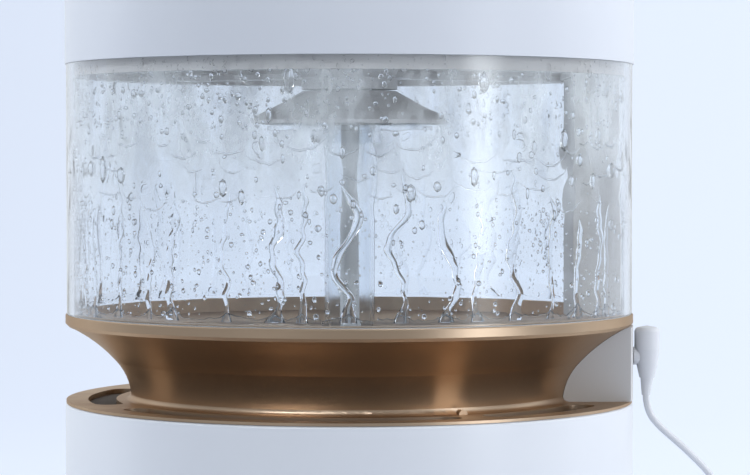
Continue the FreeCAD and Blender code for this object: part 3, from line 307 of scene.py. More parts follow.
skin_grain, skin_in, skin_out = effect_group(
    "skin_grain", {"Grain Scale": 900.0, "Blotch Scale": 9.0}, ["Height", "Blotch"]
)
skin_place = shader_node(skin_grain, "ShaderNodeTexCoord")
fine = shader_node(
    skin_grain,
    "ShaderNodeTexNoise",
    {"Vector": skin_place.outputs["Object"], "Scale": skin_in.outputs["Grain Scale"], "Detail": 3.0},
)
broad = shader_node(
    skin_grain,
    "ShaderNodeTexNoise",
    {"Vector": skin_place.outputs["Object"], "Scale": skin_in.outputs["Blotch Scale"], "Detail": 5.0},
)
spread = shader_node(
    skin_grain, "ShaderNodeMapRange", {"Value": broad.outputs["Fac"], "From Min": 0.35, "From Max": 0.68}
)
skin_grain.links.new(fine.outputs["Fac"], skin_out.inputs["Height"])
skin_grain.links.new(spread.outputs["Result"], skin_out.inputs["Blotch"])

# Marks sharp raised edges, broken into patches by noise; the finishes that use it turn paler there.
edge_rub, pale_in, pale_out = effect_group("edge_rub", {"Reach": 0.55, "Patch Scale": 60.0}, ["Worn"])
pale_place = shader_node(edge_rub, "ShaderNodeTexCoord")
shape = shader_node(edge_rub, "ShaderNodeNewGeometry")
patch = shader_node(
    edge_rub,
    "ShaderNodeTexNoise",
    {"Vector": pale_place.outputs["Object"], "Scale": pale_in.outputs["Patch Scale"], "Detail": 6.0},
)
raised = shader_node(
    edge_rub,
    "ShaderNodeMapRange",
    {"Value": shape.outputs["Pointiness"], "From Min": pale_in.outputs["Reach"], "From Max": 0.62},
)
edge_patches = shader_node(
    edge_rub,
    "ShaderNodeMapRange",
    {"Value": patch.outputs["Fac"], "From Min": 0.45, "From Max": 0.6},
)
pale_edge = shader_node(edge_rub, "ShaderNodeMath", operation="MULTIPLY")
edge_rub.links.new(raised.outputs["Result"], pale_edge.inputs[0])
edge_rub.links.new(edge_patches.outputs["Result"], pale_edge.inputs[1])
edge_rub.links.new(pale_edge.outputs[0], pale_out.inputs["Worn"])


def placed_effect(tree, group, inputs):
    made = shader_node(tree, "ShaderNodeGroup", node_tree=group)
    for label, value in inputs.items():
        made.inputs[label].default_value = value
    return made


def moulded(name, colour, shadow, rough, grain=900.0, depth=0.00002, blotch=9.0, pale_edge=None, **shader_values):
    """A plastic, rubber or coated finish: grain as bump, slow blotches in colour and gloss, paler raised
    edges.
    """
    material = bpy.data.materials.new(name)
    material.use_nodes = True
    tree = material.node_tree
    shader = tree.nodes["Principled BSDF"]
    for label, value in shader_values.items():
        shader.inputs[label.replace("_", " ")].default_value = value
    skin = placed_effect(tree, skin_grain, {"Grain Scale": grain, "Blotch Scale": blotch})
    tint = shader_node(tree, "ShaderNodeMix", data_type="RGBA")
    tint.inputs[6].default_value = (*colour, 1.0)
    tint.inputs[7].default_value = (*shadow, 1.0)
    tree.links.new(skin.outputs["Blotch"], tint.inputs[0])
    top = tint.outputs[2]
    if pale_edge:
        edge_effect = placed_effect(tree, edge_rub, {})
        edged = shader_node(tree, "ShaderNodeMix", data_type="RGBA")
        edged.inputs[7].default_value = (*pale_edge, 1.0)
        tree.links.new(edge_effect.outputs["Worn"], edged.inputs[0])
        tree.links.new(top, edged.inputs[6])
        top = edged.outputs[2]
    gloss = shader_node(
        tree,
        "ShaderNodeMapRange",
        {"Value": skin.outputs["Blotch"], "To Min": rough * 0.88, "To Max": min(1.0, rough * 1.15)},
    )
    bump = shader_node(
        tree,
        "ShaderNodeBump",
        {"Height": skin.outputs["Height"], "Distance": depth, "Strength": 1.0},
    )
    tree.links.new(top, shader.inputs["Base Color"])
    tree.links.new(gloss.outputs["Result"], shader.inputs["Roughness"])
    tree.links.new(bump.outputs["Normal"], shader.inputs["Normal"])
    return material


def dress(material, *names):
    """Gives a finish to CAD pieces."""
    for name in names:
        mesh = nodes[name].data
        mesh.materials.clear()
        mesh.materials.append(material)


def revolved(name, outline, body, material, stands_for=(), steps=288, soften=0.0003, sharp=28.0):
    """A closed piece turned about the tower's axis from (radius, height) points in mm, anticlockwise."""
    mesh = bmesh.new()
    loops = []
    for radius, height in outline:
        if radius < 1e-6:
            loops.append([mesh.verts.new((0.0, 0.0, height * MM))] * steps)
            continue
        loops.append(
            [
                mesh.verts.new(
                    (
                        radius * MM * math.cos(math.tau * i / steps),
                        radius * MM * math.sin(math.tau * i / steps),
                        height * MM,
                    )
                )
                for i in range(steps)
            ]
        )
    for first, second in zip(loops, loops[1:] + loops[:1]):
        for i in range(steps):
            corners = [first[i], first[(i + 1) % steps], second[(i + 1) % steps], second[i]]
            corners = list(dict.fromkeys(corners))
            if len(corners) > 2:
                mesh.faces.new(corners)
    bmesh.ops.recalc_face_normals(mesh, faces=mesh.faces)
    data = bpy.data.meshes.new(name)
    mesh.to_mesh(data)
    mesh.free()
    return finished(name, data, body, material, stands_for, soften, sharp)


def finished(name, data, body, material, stands_for=(), soften=0.0, sharp=28.0):
    """Rounds a mesh's sharp edges a little, shades it smooth and rides it on its body."""
    piece = bpy.data.objects.new(name, data)
    scene.collection.objects.link(piece)
    if soften:
        round_off = piece.modifiers.new("round_off", "BEVEL")
        round_off.width = soften
        round_off.segments = 2
        round_off.limit_method = "ANGLE"
        round_off.angle_limit = math.radians(sharp)
        data = bpy.data.meshes.new_from_object(piece.evaluated_get(bpy.context.evaluated_depsgraph_get()))
        piece.modifiers.clear()
        piece.data = data
        data.name = name
    data.materials.clear()
    data.materials.append(material)
    data.shade_smooth()
    data.set_sharp_from_angle(angle=math.radians(sharp + 12.0))
    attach(piece, body)
    if stands_for:
        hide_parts(*stands_for)
    return piece


def bow(start, end, radius, steps=12):
    """Points of the smaller arc from start to end; its centre is on the left of travel if radius > 0."""
    chord = Vector(end) - Vector(start)
    middle = (Vector(end) + Vector(start)) / 2
    across = Vector((-chord.y, chord.x)).normalized()
    drop = math.sqrt(max(0.0, radius * radius - chord.length_squared / 4))
    centre = middle + across * math.copysign(drop, radius)
    first, last = Vector(start) - centre, Vector(end) - centre
    turn = math.atan2(first.x * last.y - first.y * last.x, first.dot(last))
    points = []
    for i in range(1, steps + 1):
        angle = turn * i / steps
        cosine, sine = math.cos(angle), math.sin(angle)
        spun = Vector((first.x * cosine - first.y * sine, first.x * sine + first.y * cosine))
        points.append(tuple(centre + spun))
    return points


# ---- White shells: tank, head and the riser's foot ----
# The outer drums are injection-moulded in a slightly cool white plastic with a satin skin.

white = moulded(
    "white_shell",
    (0.56, 0.58, 0.62),
    (0.535, 0.555, 0.60),
    0.33,
    grain=1400.0,
    depth=0.000012,
    pale_edge=(0.66, 0.67, 0.69),
)
revolved(
    "tank_drum",
    [
        (0.0, 3.0),
        (125.0, 3.0),
        *bow((125.0, 3.0), (130.0, 8.0), 5.0, 6),
        (130.0, 177.0),
        (129.0, 178.0),
        (127.4, 178.0),
        (127.4, 9.0),
        (124.4, 6.0),
        (0.0, 6.0),
    ],
    "root",
    white,
    ["tank_shell"],
)
revolved(
    "head_drum",
    [
        (130.0, 331.5),
        (130.0, 433.0),
        *bow((130.0, 433.0), (123.0, 440.0), 7.0, 8),
        (114.5, 440.0),
        (114.5, 429.5),
        (109.5, 429.5),
        (109.5, 427.5),
        (116.9, 427.5),
        (116.9, 437.4),
        (123.0, 437.4),
        *bow((123.0, 437.4), (127.4, 433.0), -4.4, 6),
        (127.4, 331.5),
    ],
    "head",
    white,
    ["head_shell"],
)
dress(white, "outlet_grille", "control_panel", "power_button")
# The riser's foot is the same white plastic as the shells; this darker, less blue grey is painted shade, with
# a painted warm reflection of the gold waist.
riser_white = moulded(
    "riser_white",
    (0.47, 0.465, 0.47),
    (0.44, 0.435, 0.44),
    0.38,
    grain=1400.0,
    depth=0.000012,
)
dress(riser_white, "riser_foot")


# ---- Gold waist: slotted flange, funnel and rim ring ----
# One moulding and a ring, both sprayed with a warm metallic lacquer that has fine flakes.

gold = moulded(
    "gold_lacquer",
    (0.66, 0.50, 0.37),
    (0.60, 0.45, 0.325),
    0.37,
    grain=2600.0,
    depth=0.00002,
    blotch=14.0,
    pale_edge=(0.74, 0.60, 0.45),
    Metallic=1.0,
    Specular_Tint=(0.60, 0.52, 0.45, 1.0),
    Coat_Weight=0.08,
    Coat_Roughness=0.25,
)
dress(gold, "waist_funnel", "rim_ring", "trim_ring")


# ---- The clear window ----
# A polished clear plastic ring. Its inner face is wet: a thin film that ripples where water runs down it.


def clear(name, colour, rough, index, depth=0.0):
    """A clear finish that lets light through to what it covers."""
    material = bpy.data.materials.new(name)
    material.use_nodes = True
    tree = material.node_tree
    shader = tree.nodes["Principled BSDF"]
    shader.inputs["Base Color"].default_value = (*colour, 1.0)
    shader.inputs["Roughness"].default_value = rough
    shader.inputs["IOR"].default_value = index
    shader.inputs["Transmission Weight"].default_value = 1.0
    if depth:
        skin = placed_effect(tree, skin_grain, {"Grain Scale": 120.0, "Blotch Scale": 30.0})
        bump = shader_node(tree, "ShaderNodeBump", {"Height": skin.outputs["Blotch"], "Distance": depth})
        tree.links.new(bump.outputs["Normal"], shader.inputs["Normal"])
    open_way = shader_node(tree, "ShaderNodeBsdfTransparent", {"Color": (*[c**0.5 for c in colour], 1.0)})
    path = shader_node(tree, "ShaderNodeLightPath")
    pass_by = shader_node(tree, "ShaderNodeMixShader", {"Fac": path.outputs["Is Shadow Ray"]})
    tree.links.new(shader.outputs[0], pass_by.inputs[1])
    tree.links.new(open_way.outputs[0], pass_by.inputs[2])
    tree.links.new(pass_by.outputs[0], tree.nodes["Material Output"].inputs["Surface"])
    return material


window_clear = clear("window_clear", (0.94, 0.965, 0.98), 0.0, 1.49)
water = clear("water", (0.985, 0.99, 1.0), 0.0, 1.333)
window_foot, window_top = 218.5, 331.5
window_inner, window_outer = 126.2, 129.4


def wet_ripple(angle, height):
    """How thick the film of water stands at a place on the window's inner face, in mm."""
    spot = Vector((math.cos(angle), math.sin(angle), 0.0)) * 9.0
    run = noise.noise(spot + Vector((0.0, 0.0, height * 0.012)))
    swell = noise.noise(spot * 2.1 + Vector((5.0, 3.0, height * 0.11)))
    band = max(0.0, 1.0 - abs(height - 283.0) / 26.0)
    low = max(0.0, min(1.0, (272.0 - height) / 12.0))
    return 0.16 * band * (0.6 + swell) + 0.10 * low * run


window_outline = [(window_outer, window_foot), (window_outer, window_top)]
window_outline += [(window_inner, window_top - k * (window_top - window_foot) / 60) for k in range(61)]
ring = revolved(
    "window_ring",
    window_outline,
    "head",
    window_clear,
    ["window"],
    steps=480,
    soften=0.0,
    sharp=50.0,
)
for vertex in ring.data.vertices:
    inside = math.hypot(vertex.co.x, vertex.co.y) < (window_inner + 0.5) * MM
    if inside and vertex.co.z < window_top * MM - 0.0002:
        bearing = math.atan2(vertex.co.y, vertex.co.x)
        reach = window_inner - max(0.0, wet_ripple(bearing, vertex.co.z / MM))
        vertex.co.x, vertex.co.y = reach * MM * math.cos(bearing), reach * MM * math.sin(bearing)
dress(window_clear, "window")


# ---- Condensation ----
# Drops of many sizes cling to the inside of the window, thickest near the top and in patches below. Each is
# a flattened bead that meets the plastic.


def geometry_input(tree, label, kind, value=None):
    made = tree.interface.new_socket(label, in_out="INPUT", socket_type=kind)
    if value is not None:
        made.default_value = value
    return made.identifier


def bead_tree():
    """Scatters flattened beads over a surface, sized at random, and joins them into one mesh."""
    tree = bpy.data.node_groups.new("beads", "GeometryNodeTree")
    sockets = {
        "surface": geometry_input(tree, "Surface", "NodeSocketGeometry"),
        "density": geometry_input(tree, "Density", "NodeSocketFloat", 5000.0),
        "apart": geometry_input(tree, "Apart", "NodeSocketFloat", 0.0012),
        "small": geometry_input(tree, "Smallest", "NodeSocketFloat", 0.0003),
        "large": geometry_input(tree, "Largest", "NodeSocketFloat", 0.0015),
        "tall": geometry_input(tree, "Tallest", "NodeSocketFloat", 1.5),
        "seed": geometry_input(tree, "Seed", "NodeSocketInt", 4),
        "finish": geometry_input(tree, "Finish", "NodeSocketMaterial"),
    }
    tree.interface.new_socket("Beads", in_out="OUTPUT", socket_type="NodeSocketGeometry")
    given = shader_node(tree, "NodeGroupInput").outputs
    spread = shader_node(
        tree,
        "GeometryNodeDistributePointsOnFaces",
        {
            "Mesh": given["Surface"],
            "Distance Min": given["Apart"],
            "Density Max": given["Density"],
            "Seed": given["Seed"],
        },
        distribute_method="POISSON",
    )
    thick = shader_node(tree, "GeometryNodeInputNamedAttribute", {"Name": "thick"}, data_type="FLOAT")
    tree.links.new(thick.outputs["Attribute"], spread.inputs["Density Factor"])
    ball = shader_node(tree, "GeometryNodeMeshUVSphere", {"Segments": 8, "Rings": 5, "Radius": 1.0})
    where = shader_node(tree, "GeometryNodeInputPosition")
    parts = shader_node(tree, "ShaderNodeSeparateXYZ", {"Vector": where.outputs[0]})
    above = shader_node(tree, "ShaderNodeMath", {0: parts.outputs["Z"], 1: 0.0}, operation="GREATER_THAN")
    tall = shader_node(
        tree,
        "ShaderNodeMapRange",
        {"Value": above.outputs[0], "To Min": 0.04, "To Max": 0.72},
    )
    lift = shader_node(
        tree,
        "ShaderNodeMath",
        {0: parts.outputs["Z"], 1: tall.outputs["Result"]},
        operation="MULTIPLY",
    )
    flat = shader_node(
        tree, "ShaderNodeCombineXYZ", {"X": parts.outputs["X"], "Y": parts.outputs["Y"], "Z": lift.outputs[0]}
    )
    bead = shader_node(
        tree,
        "GeometryNodeSetPosition",
        {"Geometry": ball.outputs["Mesh"], "Position": flat.outputs[0]},
    )
    draw = shader_node(tree, "FunctionNodeRandomValue", {"Seed": given["Seed"]}, data_type="FLOAT")
    curve = shader_node(tree, "ShaderNodeMath", {0: draw.outputs[1], 1: 2.6}, operation="POWER")
    size = shader_node(
        tree,
        "ShaderNodeMapRange",
        {"Value": curve.outputs[0], "To Min": given["Smallest"], "To Max": given["Largest"]},
    )
    stretch = shader_node(
        tree,
        "FunctionNodeRandomValue",
        {"Min": (0.7, 0.8, 0.8), "Max": (1.15, 1.0, 1.1)},
        data_type="FLOAT_VECTOR",
    )
    most = shader_node(tree, "ShaderNodeCombineXYZ", {"X": 1.15, "Y": given["Tallest"], "Z": 1.1})
    tree.links.new(most.outputs[0], stretch.inputs["Max"])
    outward = shader_node(
        tree,
        "FunctionNodeAlignRotationToVector",
        {"Vector": spread.outputs["Normal"]},
        axis="Z",
    )
    upright = shader_node(
        tree,
        "FunctionNodeAlignRotationToVector",
        {"Rotation": outward.outputs[0], "Vector": (0.0, 0.0, 1.0)},
        axis="Y",
        pivot_axis="Z",
    )
    scale = shader_node(
        tree,
        "ShaderNodeVectorMath",
        {0: stretch.outputs[0], "Scale": size.outputs["Result"]},
        operation="SCALE",
    )
    beads = shader_node(
        tree,
        "GeometryNodeInstanceOnPoints",
        {
            "Points": spread.outputs["Points"],
            "Instance": bead.outputs["Geometry"],
            "Rotation": upright.outputs[0],
            "Scale": scale.outputs["Vector"],
        },
    )
    real = shader_node(tree, "GeometryNodeRealizeInstances", {"Geometry": beads.outputs["Instances"]})
    spot = shader_node(tree, "GeometryNodeInputPosition")
    wobble = shader_node(
        tree,
        "ShaderNodeTexNoise",
        {"Vector": spot.outputs[0], "Scale": 520.0, "Detail": 1.0},
    )
    centred = shader_node(
        tree,
        "ShaderNodeVectorMath",
        {0: wobble.outputs["Color"], 1: (0.5, 0.5, 0.5)},
        operation="SUBTRACT",
    )
    push = shader_node(
        tree,
        "ShaderNodeVectorMath",
        {0: centred.outputs[0], "Scale": 0.0010},
        operation="SCALE",
    )
    bent = shader_node(
        tree,
        "GeometryNodeSetPosition",
        {"Geometry": real.outputs[0], "Offset": push.outputs["Vector"]},
    )
    smooth = shader_node(tree, "GeometryNodeSetShadeSmooth", {"Geometry": bent.outputs[0]})
    finish = shader_node(
        tree,
        "GeometryNodeSetMaterial",
        {"Geometry": smooth.outputs[0], "Material": given["Finish"]},
    )
    out = shader_node(tree, "NodeGroupOutput")
    tree.links.new(finish.outputs[0], out.inputs["Beads"])
    return tree, sockets


beads_tree, bead_sockets = bead_tree()


def wall_patch(name, radius, low, high, thickness, columns=160, rows=24):
    """A patch of the window's inner face, facing the axis, with a value for how thick the drops lie."""
    corners, faces, values = [], [], []
    for j in range(rows + 1):
        height = low + (high - low) * j / rows
        for i in range(columns):
            angle = math.tau * i / columns
            corners.append((radius * MM * math.cos(angle), radius * MM * math.sin(angle), height * MM))
            values.append(thickness(angle, height))
    for j in range(rows):
        for i in range(columns):
            right = (i + 1) % columns
            faces.append(
                (j * columns + i, (j + 1) * columns + i, (j + 1) * columns + right, j * columns + right),
            )
    data = bpy.data.meshes.new(name)
    data.from_pydata(corners, [], faces)
    data.attributes.new("thick", "FLOAT", "POINT").data.foreach_set("value", values)
    patch = bpy.data.objects.new(name, data)
    scene.collection.objects.link(patch)
    return patch


def scatter(name, patch, density, apart, small, large, tall, seed):
    """Turns a patch into beads of water, with sizes in metres, that ride on the head."""
    grow = patch.modifiers.new("beads", "NODES")
    grow.node_group = beads_tree
    chosen = {"density": density, "apart": apart, "small": small, "large": large, "tall": tall}
    chosen |= {"seed": seed, "finish": water}
    for label, value in chosen.items():
        grow[bead_sockets[label]] = value
    data = bpy.data.meshes.new_from_object(patch.evaluated_get(bpy.context.evaluated_depsgraph_get()))
    bpy.data.objects.remove(patch)
    data.name = name
    piece = bpy.data.objects.new(name, data)
    scene.collection.objects.link(piece)
    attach(piece, "head")
    return piece


def high_drops(angle, height):
    cloud = noise.noise(
        Vector((math.cos(angle), math.sin(angle), 0.0)) * 4.0 + Vector((0.0, 0.0, height * 0.03)),
    )
    return max(0.0, min(1.0, (height - 292.0) / 14.0)) * max(0.1, 0.6 + cloud)


def low_drops(angle, height):
    cloud = noise.noise(
        Vector((math.cos(angle), math.sin(angle), 2.0)) * 5.0 + Vector((0.0, 0.0, height * 0.02)),
    )
    return max(0.0, min(1.0, (274.0 - height) / 8.0)) * max(0.05, 0.55 + 1.4 * cloud)


def few_drops(angle, height):
    return max(
        0.0,
        min(1.0, 0.55 + noise.noise(Vector((3.0 * math.cos(angle), 3.0 * math.sin(angle), height * 0.05)))),
    )


drop_radius = window_inner - 0.06
scatter(
    "drops_high",
    wall_patch("high_wall", drop_radius, 286.0, 331.0, high_drops),
    density=150000.0,
    apart=0.0012,
    small=0.0002,
    large=0.0014,
    tall=1.5,
    seed=3,
)
scatter(
    "drops_low",
    wall_patch("low_wall", drop_radius, 222.0, 274.0, low_drops),
    density=150000.0,
    apart=0.0017,
    small=0.00025,
    large=0.0012,
    tall=1.5,
    seed=8,
)
scatter(
    "drops_mid",
    wall_patch("middle_wall", drop_radius, 258.0, 300.0, few_drops),
    density=26000.0,
    apart=0.0032,
    small=0.0003,
    large=0.0016,
    tall=2.0,
    seed=5,
)
scatter(
    "drops_big",
    wall_patch("wide_wall", drop_radius, 270.0, 326.0, few_drops),
    density=5200.0,
    apart=0.0085,
    small=0.0012,
    large=0.0034,
    tall=2.6,
    seed=21,
)


# ---- Fog on the window ----
# A patchy milky film of the finest droplets, thick near the top of the window and worn through in runs.

fog = bpy.data.materials.new("window_fog")
fog.use_nodes = True
fog_tree = fog.node_tree
fog_shader = fog_tree.nodes["Principled BSDF"]
fog_shader.inputs["Base Color"].default_value = (0.86, 0.88, 0.90, 1.0)
fog_shader.inputs["Roughness"].default_value = 0.6
fog_place = shader_node(fog_tree, "ShaderNodeTexCoord")
fog_axes = shader_node(fog_tree, "ShaderNodeSeparateXYZ", {"Vector": fog_place.outputs["Object"]})
fog_squash = shader_node(
    fog_tree, "ShaderNodeMapping", {"Vector": fog_place.outputs["Object"], "Scale": (1.0, 1.0, 0.45)}
)
fog_cloud = shader_node(
    fog_tree,
    "ShaderNodeTexNoise",
    {"Vector": fog_squash.outputs[0], "Scale": 52.0, "Detail": 7.0, "Roughness": 0.62},
)
fog_patch = shader_node(
    fog_tree,
    "ShaderNodeMapRange",
    {"Value": fog_cloud.outputs["Fac"], "From Min": 0.40, "From Max": 0.66, "To Min": 0.04, "To Max": 0.40},
)
fog_rise = shader_node(
    fog_tree, "ShaderNodeMapRange", {"Value": fog_axes.outputs["Z"], "From Min": 0.258, "From Max": 0.296}
)
fog_mask = shader_node(
    fog_tree, "ShaderNodeMath", {0: fog_patch.outputs[0], 1: fog_rise.outputs[0]}, operation="MULTIPLY"
)
fog_tree.links.new(fog_mask.outputs[0], fog_shader.inputs["Alpha"])
FOG_SKIN = 0.05
revolved(
    "fog_film",
    [
        (window_inner - 0.6, 240.0),
        (window_inner - 0.6 + FOG_SKIN, 240.0),
        (window_inner - 0.6 + FOG_SKIN, 331.0),
        (window_inner - 0.6, 331.0),
    ],
    "head",
    fog,
    soften=0.0,
)


# ---- Rivulets, the edge of the wet band and the film at the window's foot ----
# Where the wet band ends the water gathers into threads that wander down the window. The threads run out in
# a thin film along the rim, whose edge climbs to each thread. The wet band's own edges are scalloped.

thread_random = random.Random(11)
THREAD_COUNT = 44
THREAD_SIDES = 7
FILM_FOOT = 219.4


def against_window(mesh, angle, height, depth):
    """A point that stands some mm in from the window's inner face."""
    reach = (drop_radius - 0.02 - depth) * MM
    return mesh.verts.new((reach * math.cos(angle), reach * math.sin(angle), height * MM))


def closed_strip(mesh, rings, loop=False):
    """Joins sections of a strip side by side, and closes its ends unless it is a loop."""
    sides = len(rings[0])
    for first, second in zip(rings, rings[1:] + (rings[:1] if loop else [])):
        for k in range(sides):
            mesh.faces.new((first[k], first[(k + 1) % sides], second[(k + 1) % sides], second[k]))
    if not loop:
        mesh.faces.new(rings[0])
        mesh.faces.new(rings[-1])


def thread(mesh, bearing, top, foot, width):
    """One wandering thread: a closed half-round strip against the window."""
    steps = 54
    phase = thread_random.uniform(0.0, 40.0)
    wander = thread_random.uniform(3.5, 9.0)
    rings = []
    for i in range(steps + 1):
        share = i / steps
        height = top + (foot - top) * share
        hold = min(1.0, (1.0 - share) * 5.0)
        sway = wander * hold * noise.noise(Vector((phase, height * 0.05, 0.0)))
        sway += 2.0 * hold * noise.noise(Vector((phase, height * 0.17, 4.0)))
        swell = 1.0 + 0.6 * noise.noise(Vector((phase, height * 0.13, 9.0)))
        taper = min(1.0, share * 7.0 + 0.12)
        half = 0.5 * width * swell * taper * (1.0 + 1.2 * max(0.0, (share - 0.9) / 0.1))
        section = []
        for k in range(THREAD_SIDES + 1):
            side = -1.0 + 2.0 * k / THREAD_SIDES
            rise = 0.62 * half * math.sqrt(max(0.0, 1.0 - side * side))
            section.append(against_window(mesh, bearing + (sway + side * half) / window_inner, height, rise))
        rings.append(section)
    closed_strip(mesh, rings)


threads = bmesh.new()
thread_feet = []
for i in range(THREAD_COUNT):
    bearing = math.tau * (i + thread_random.uniform(-0.42, 0.42)) / THREAD_COUNT
    thread_feet.append(bearing)
    thread(
        threads,
        bearing,
        thread_random.uniform(262.0, 284.0),
        FILM_FOOT + 1.0,
        thread_random.uniform(1.8, 3.6),
    )
bmesh.ops.recalc_face_normals(threads, faces=threads.faces)
thread_data = bpy.data.meshes.new("water_threads")
threads.to_mesh(thread_data)
threads.free()
finished("water_threads", thread_data, "head", water, sharp=70.0)

film = bmesh.new()
film_rings = []
FILM_STEPS = 1400
FILM_CLIMB = 3.2
FILM_REACH = 3.4
FILM_SECTION = ((1.0, 0.0), (0.97, 0.5), (0.88, 0.8), (0.70, 0.72), (0.35, 0.8), (0.0, 1.2), (0.0, 0.0))
for i in range(FILM_STEPS):
    angle = math.tau * i / FILM_STEPS
    nearest = min(abs((angle - foot + math.pi) % math.tau - math.pi) for foot in thread_feet)
    spot = Vector((math.cos(angle), math.sin(angle), 0.0))
    climb = FILM_CLIMB * math.exp(-nearest * window_inner / FILM_REACH)
    rise = 1.8 + climb + 3.0 * max(0.0, noise.noise(spot * 11.0)) + 0.9 * noise.noise(spot * 48.0)
    thick = 0.75 + 0.3 * noise.noise(spot * 26.0)
    film_rings.append(
        [against_window(film, angle, FILM_FOOT + rise * up, thick * deep) for up, deep in FILM_SECTION]
    )
closed_strip(film, film_rings, loop=True)
bmesh.ops.recalc_face_normals(film, faces=film.faces)
film_data = bpy.data.meshes.new("foot_film")
film.to_mesh(film_data)
film.free()
finished("foot_film", film_data, "head", water, sharp=60.0)


def scalloped_edge(mesh, level, span, seed, width):
    """The rounded edge of a sheet of water: uneven arcs round the window, with gaps where it has dried."""
    draw = random.Random(seed)
    start = draw.uniform(0.0, math.tau)
    angle = start
    while angle < start + math.tau - 0.2:
        wide = draw.uniform(0.5, 1.5) * span / window_inner
        drop = draw.uniform(0.15, 0.55) * wide * window_inner * 0.5
        lean = draw.uniform(-2.2, 2.2)
        high = level + draw.uniform(-4.0, 4.0)
        if draw.random() < 0.62:
            rings = []
            for k in range(15):
                share = k / 14
                sag = drop * (1.0 - abs(2.0 * share - 1.0) ** 2.2)
                swing = 0.9 * noise.noise(Vector((260.0 * (angle + wide * share) / math.tau, seed, 0.0)))
                half = 0.5 * width * (0.15 + 0.85 * math.sin(math.pi * share) ** 0.7)
                line_height = high - sag + lean * share + swing
                rings.append(
                    [
                        against_window(
                            mesh,
                            angle + wide * share,
                            line_height + half * side,
                            0.7 * half * deep,
                        )
                        for side, deep in ((-1.0, 0.0), (-0.6, 0.8), (0.0, 1.0), (0.6, 0.8), (1.0, 0.0))
                    ]
                )
            closed_strip(mesh, rings)
        angle += wide


edges = bmesh.new()
scalloped_edge(edges, 293.0, 13.0, 2, 0.9)
scalloped_edge(edges, 285.0, 16.0, 5, 0.8)
scalloped_edge(edges, 275.0, 14.0, 9, 0.7)
bmesh.ops.recalc_face_normals(edges, faces=edges.faces)
edge_data = bpy.data.meshes.new("wet_edges")
edges.to_mesh(edge_data)
edges.free()
finished("wet_edges", edge_data, "head", water, sharp=70.0)


# ---- Inside the chamber: ceiling, pod, riser, lift pipe and spray head ----
# Satin grey mouldings, and a frosted pipe and disc with a steel shaft inside.

# Both greys are partly the mouldings' own grey and partly painted light: they are made lighter to stand in
# for light the chamber lacks.
grey = moulded("grey_moulding", (0.66, 0.64, 0.635), (0.62, 0.60, 0.595), 0.42, grain=1500.0, depth=0.000015)
canopy_grey = moulded(
    "canopy_grey",
    (0.68, 0.66, 0.655),
    (0.64, 0.62, 0.615),
    0.28,
    grain=1500.0,
    depth=0.00001,
)
dress(
    grey,
    "riser_cover",
    "ceiling_frame",
    "drop_catcher",
    "motor_pod",
    "pod_lid",
    "fan_duct",
    "fan_spider",
    "control_housing",
)
dress(grey, "contact_tower", "sump_bush", "level_rod")
dress(canopy_grey, "spray_canopy")
frosted = clear("frosted_pipe", (0.93, 0.95, 0.97), 0.12, 1.3, depth=0.0001)
dress(frosted, "lift_pipe", "spray_disc")


# ---- Metal, rubber and small parts ----
# Plated screws and pins, ground steel shafts, zinc-plated motor cans, rubber feet and seals.

steel = moulded(
    "ground_steel",
    (0.58, 0.58, 0.60),
    (0.50, 0.50, 0.52),
    0.28,
    grain=3000.0,
    depth=0.00001,
    Metallic=1.0,
)
bright = moulded(
    "bright_plate",
    (0.82, 0.82, 0.83),
    (0.74, 0.74, 0.75),
    0.16,
    grain=2500.0,
    depth=0.000006,
    Metallic=1.0,
)
zinc = moulded(
    "zinc_plate",
    (0.52, 0.53, 0.55),
    (0.44, 0.45, 0.48),
    0.34,
    grain=700.0,
    depth=0.00002,
    Metallic=1.0,
)
brass = moulded(
    "contact_plate",
    (0.84, 0.62, 0.25),
    (0.74, 0.52, 0.2),
    0.22,
    grain=2500.0,
    depth=0.000008,
    Metallic=1.0,
)
rubber = moulded(
    "black_rubber",
    (0.025, 0.025, 0.027),
    (0.035, 0.035, 0.036),
    0.65,
    grain=1100.0,
    depth=0.00004,
)
seal_rubber = moulded(
    "pale_silicone",
    (0.55, 0.57, 0.60),
    (0.5, 0.52, 0.55),
    0.45,
    grain=900.0,
    depth=0.00002,
)
black = moulded("black_plastic", (0.03, 0.03, 0.032), (0.04, 0.04, 0.042), 0.4, grain=1000.0, depth=0.00002)
basin_grey = moulded("basin_plastic", (0.62, 0.64, 0.67), (0.58, 0.60, 0.63), 0.3, grain=900.0, depth=0.00002)
fan_grey = moulded("fan_plastic", (0.10, 0.105, 0.115), (0.085, 0.09, 0.1), 0.38, grain=1200.0, depth=0.00002)
foam = moulded("float_foam", (0.78, 0.78, 0.75), (0.70, 0.70, 0.67), 0.8, grain=420.0, depth=0.0003)
board_green = moulded(
    "solder_mask",
    (0.012, 0.09, 0.035),
    (0.01, 0.07, 0.028),
    0.3,
    grain=900.0,
    depth=0.00001,
)
smoked = moulded(
    "smoked_lens",
    (0.012, 0.013, 0.016),
    (0.014, 0.015, 0.018),
    0.08,
    grain=300.0,
    depth=0.000004,
)
glow = moulded(
    "frosted_guide",
    (0.82, 0.86, 0.90),
    (0.78, 0.82, 0.86),
    0.35,
    grain=900.0,
    depth=0.00001,
    Subsurface_Weight=0.3,
)
lead_white = moulded("lead_jacket", (0.56, 0.57, 0.60), (0.53, 0.54, 0.57), 0.42, grain=1600.0, depth=0.00002)
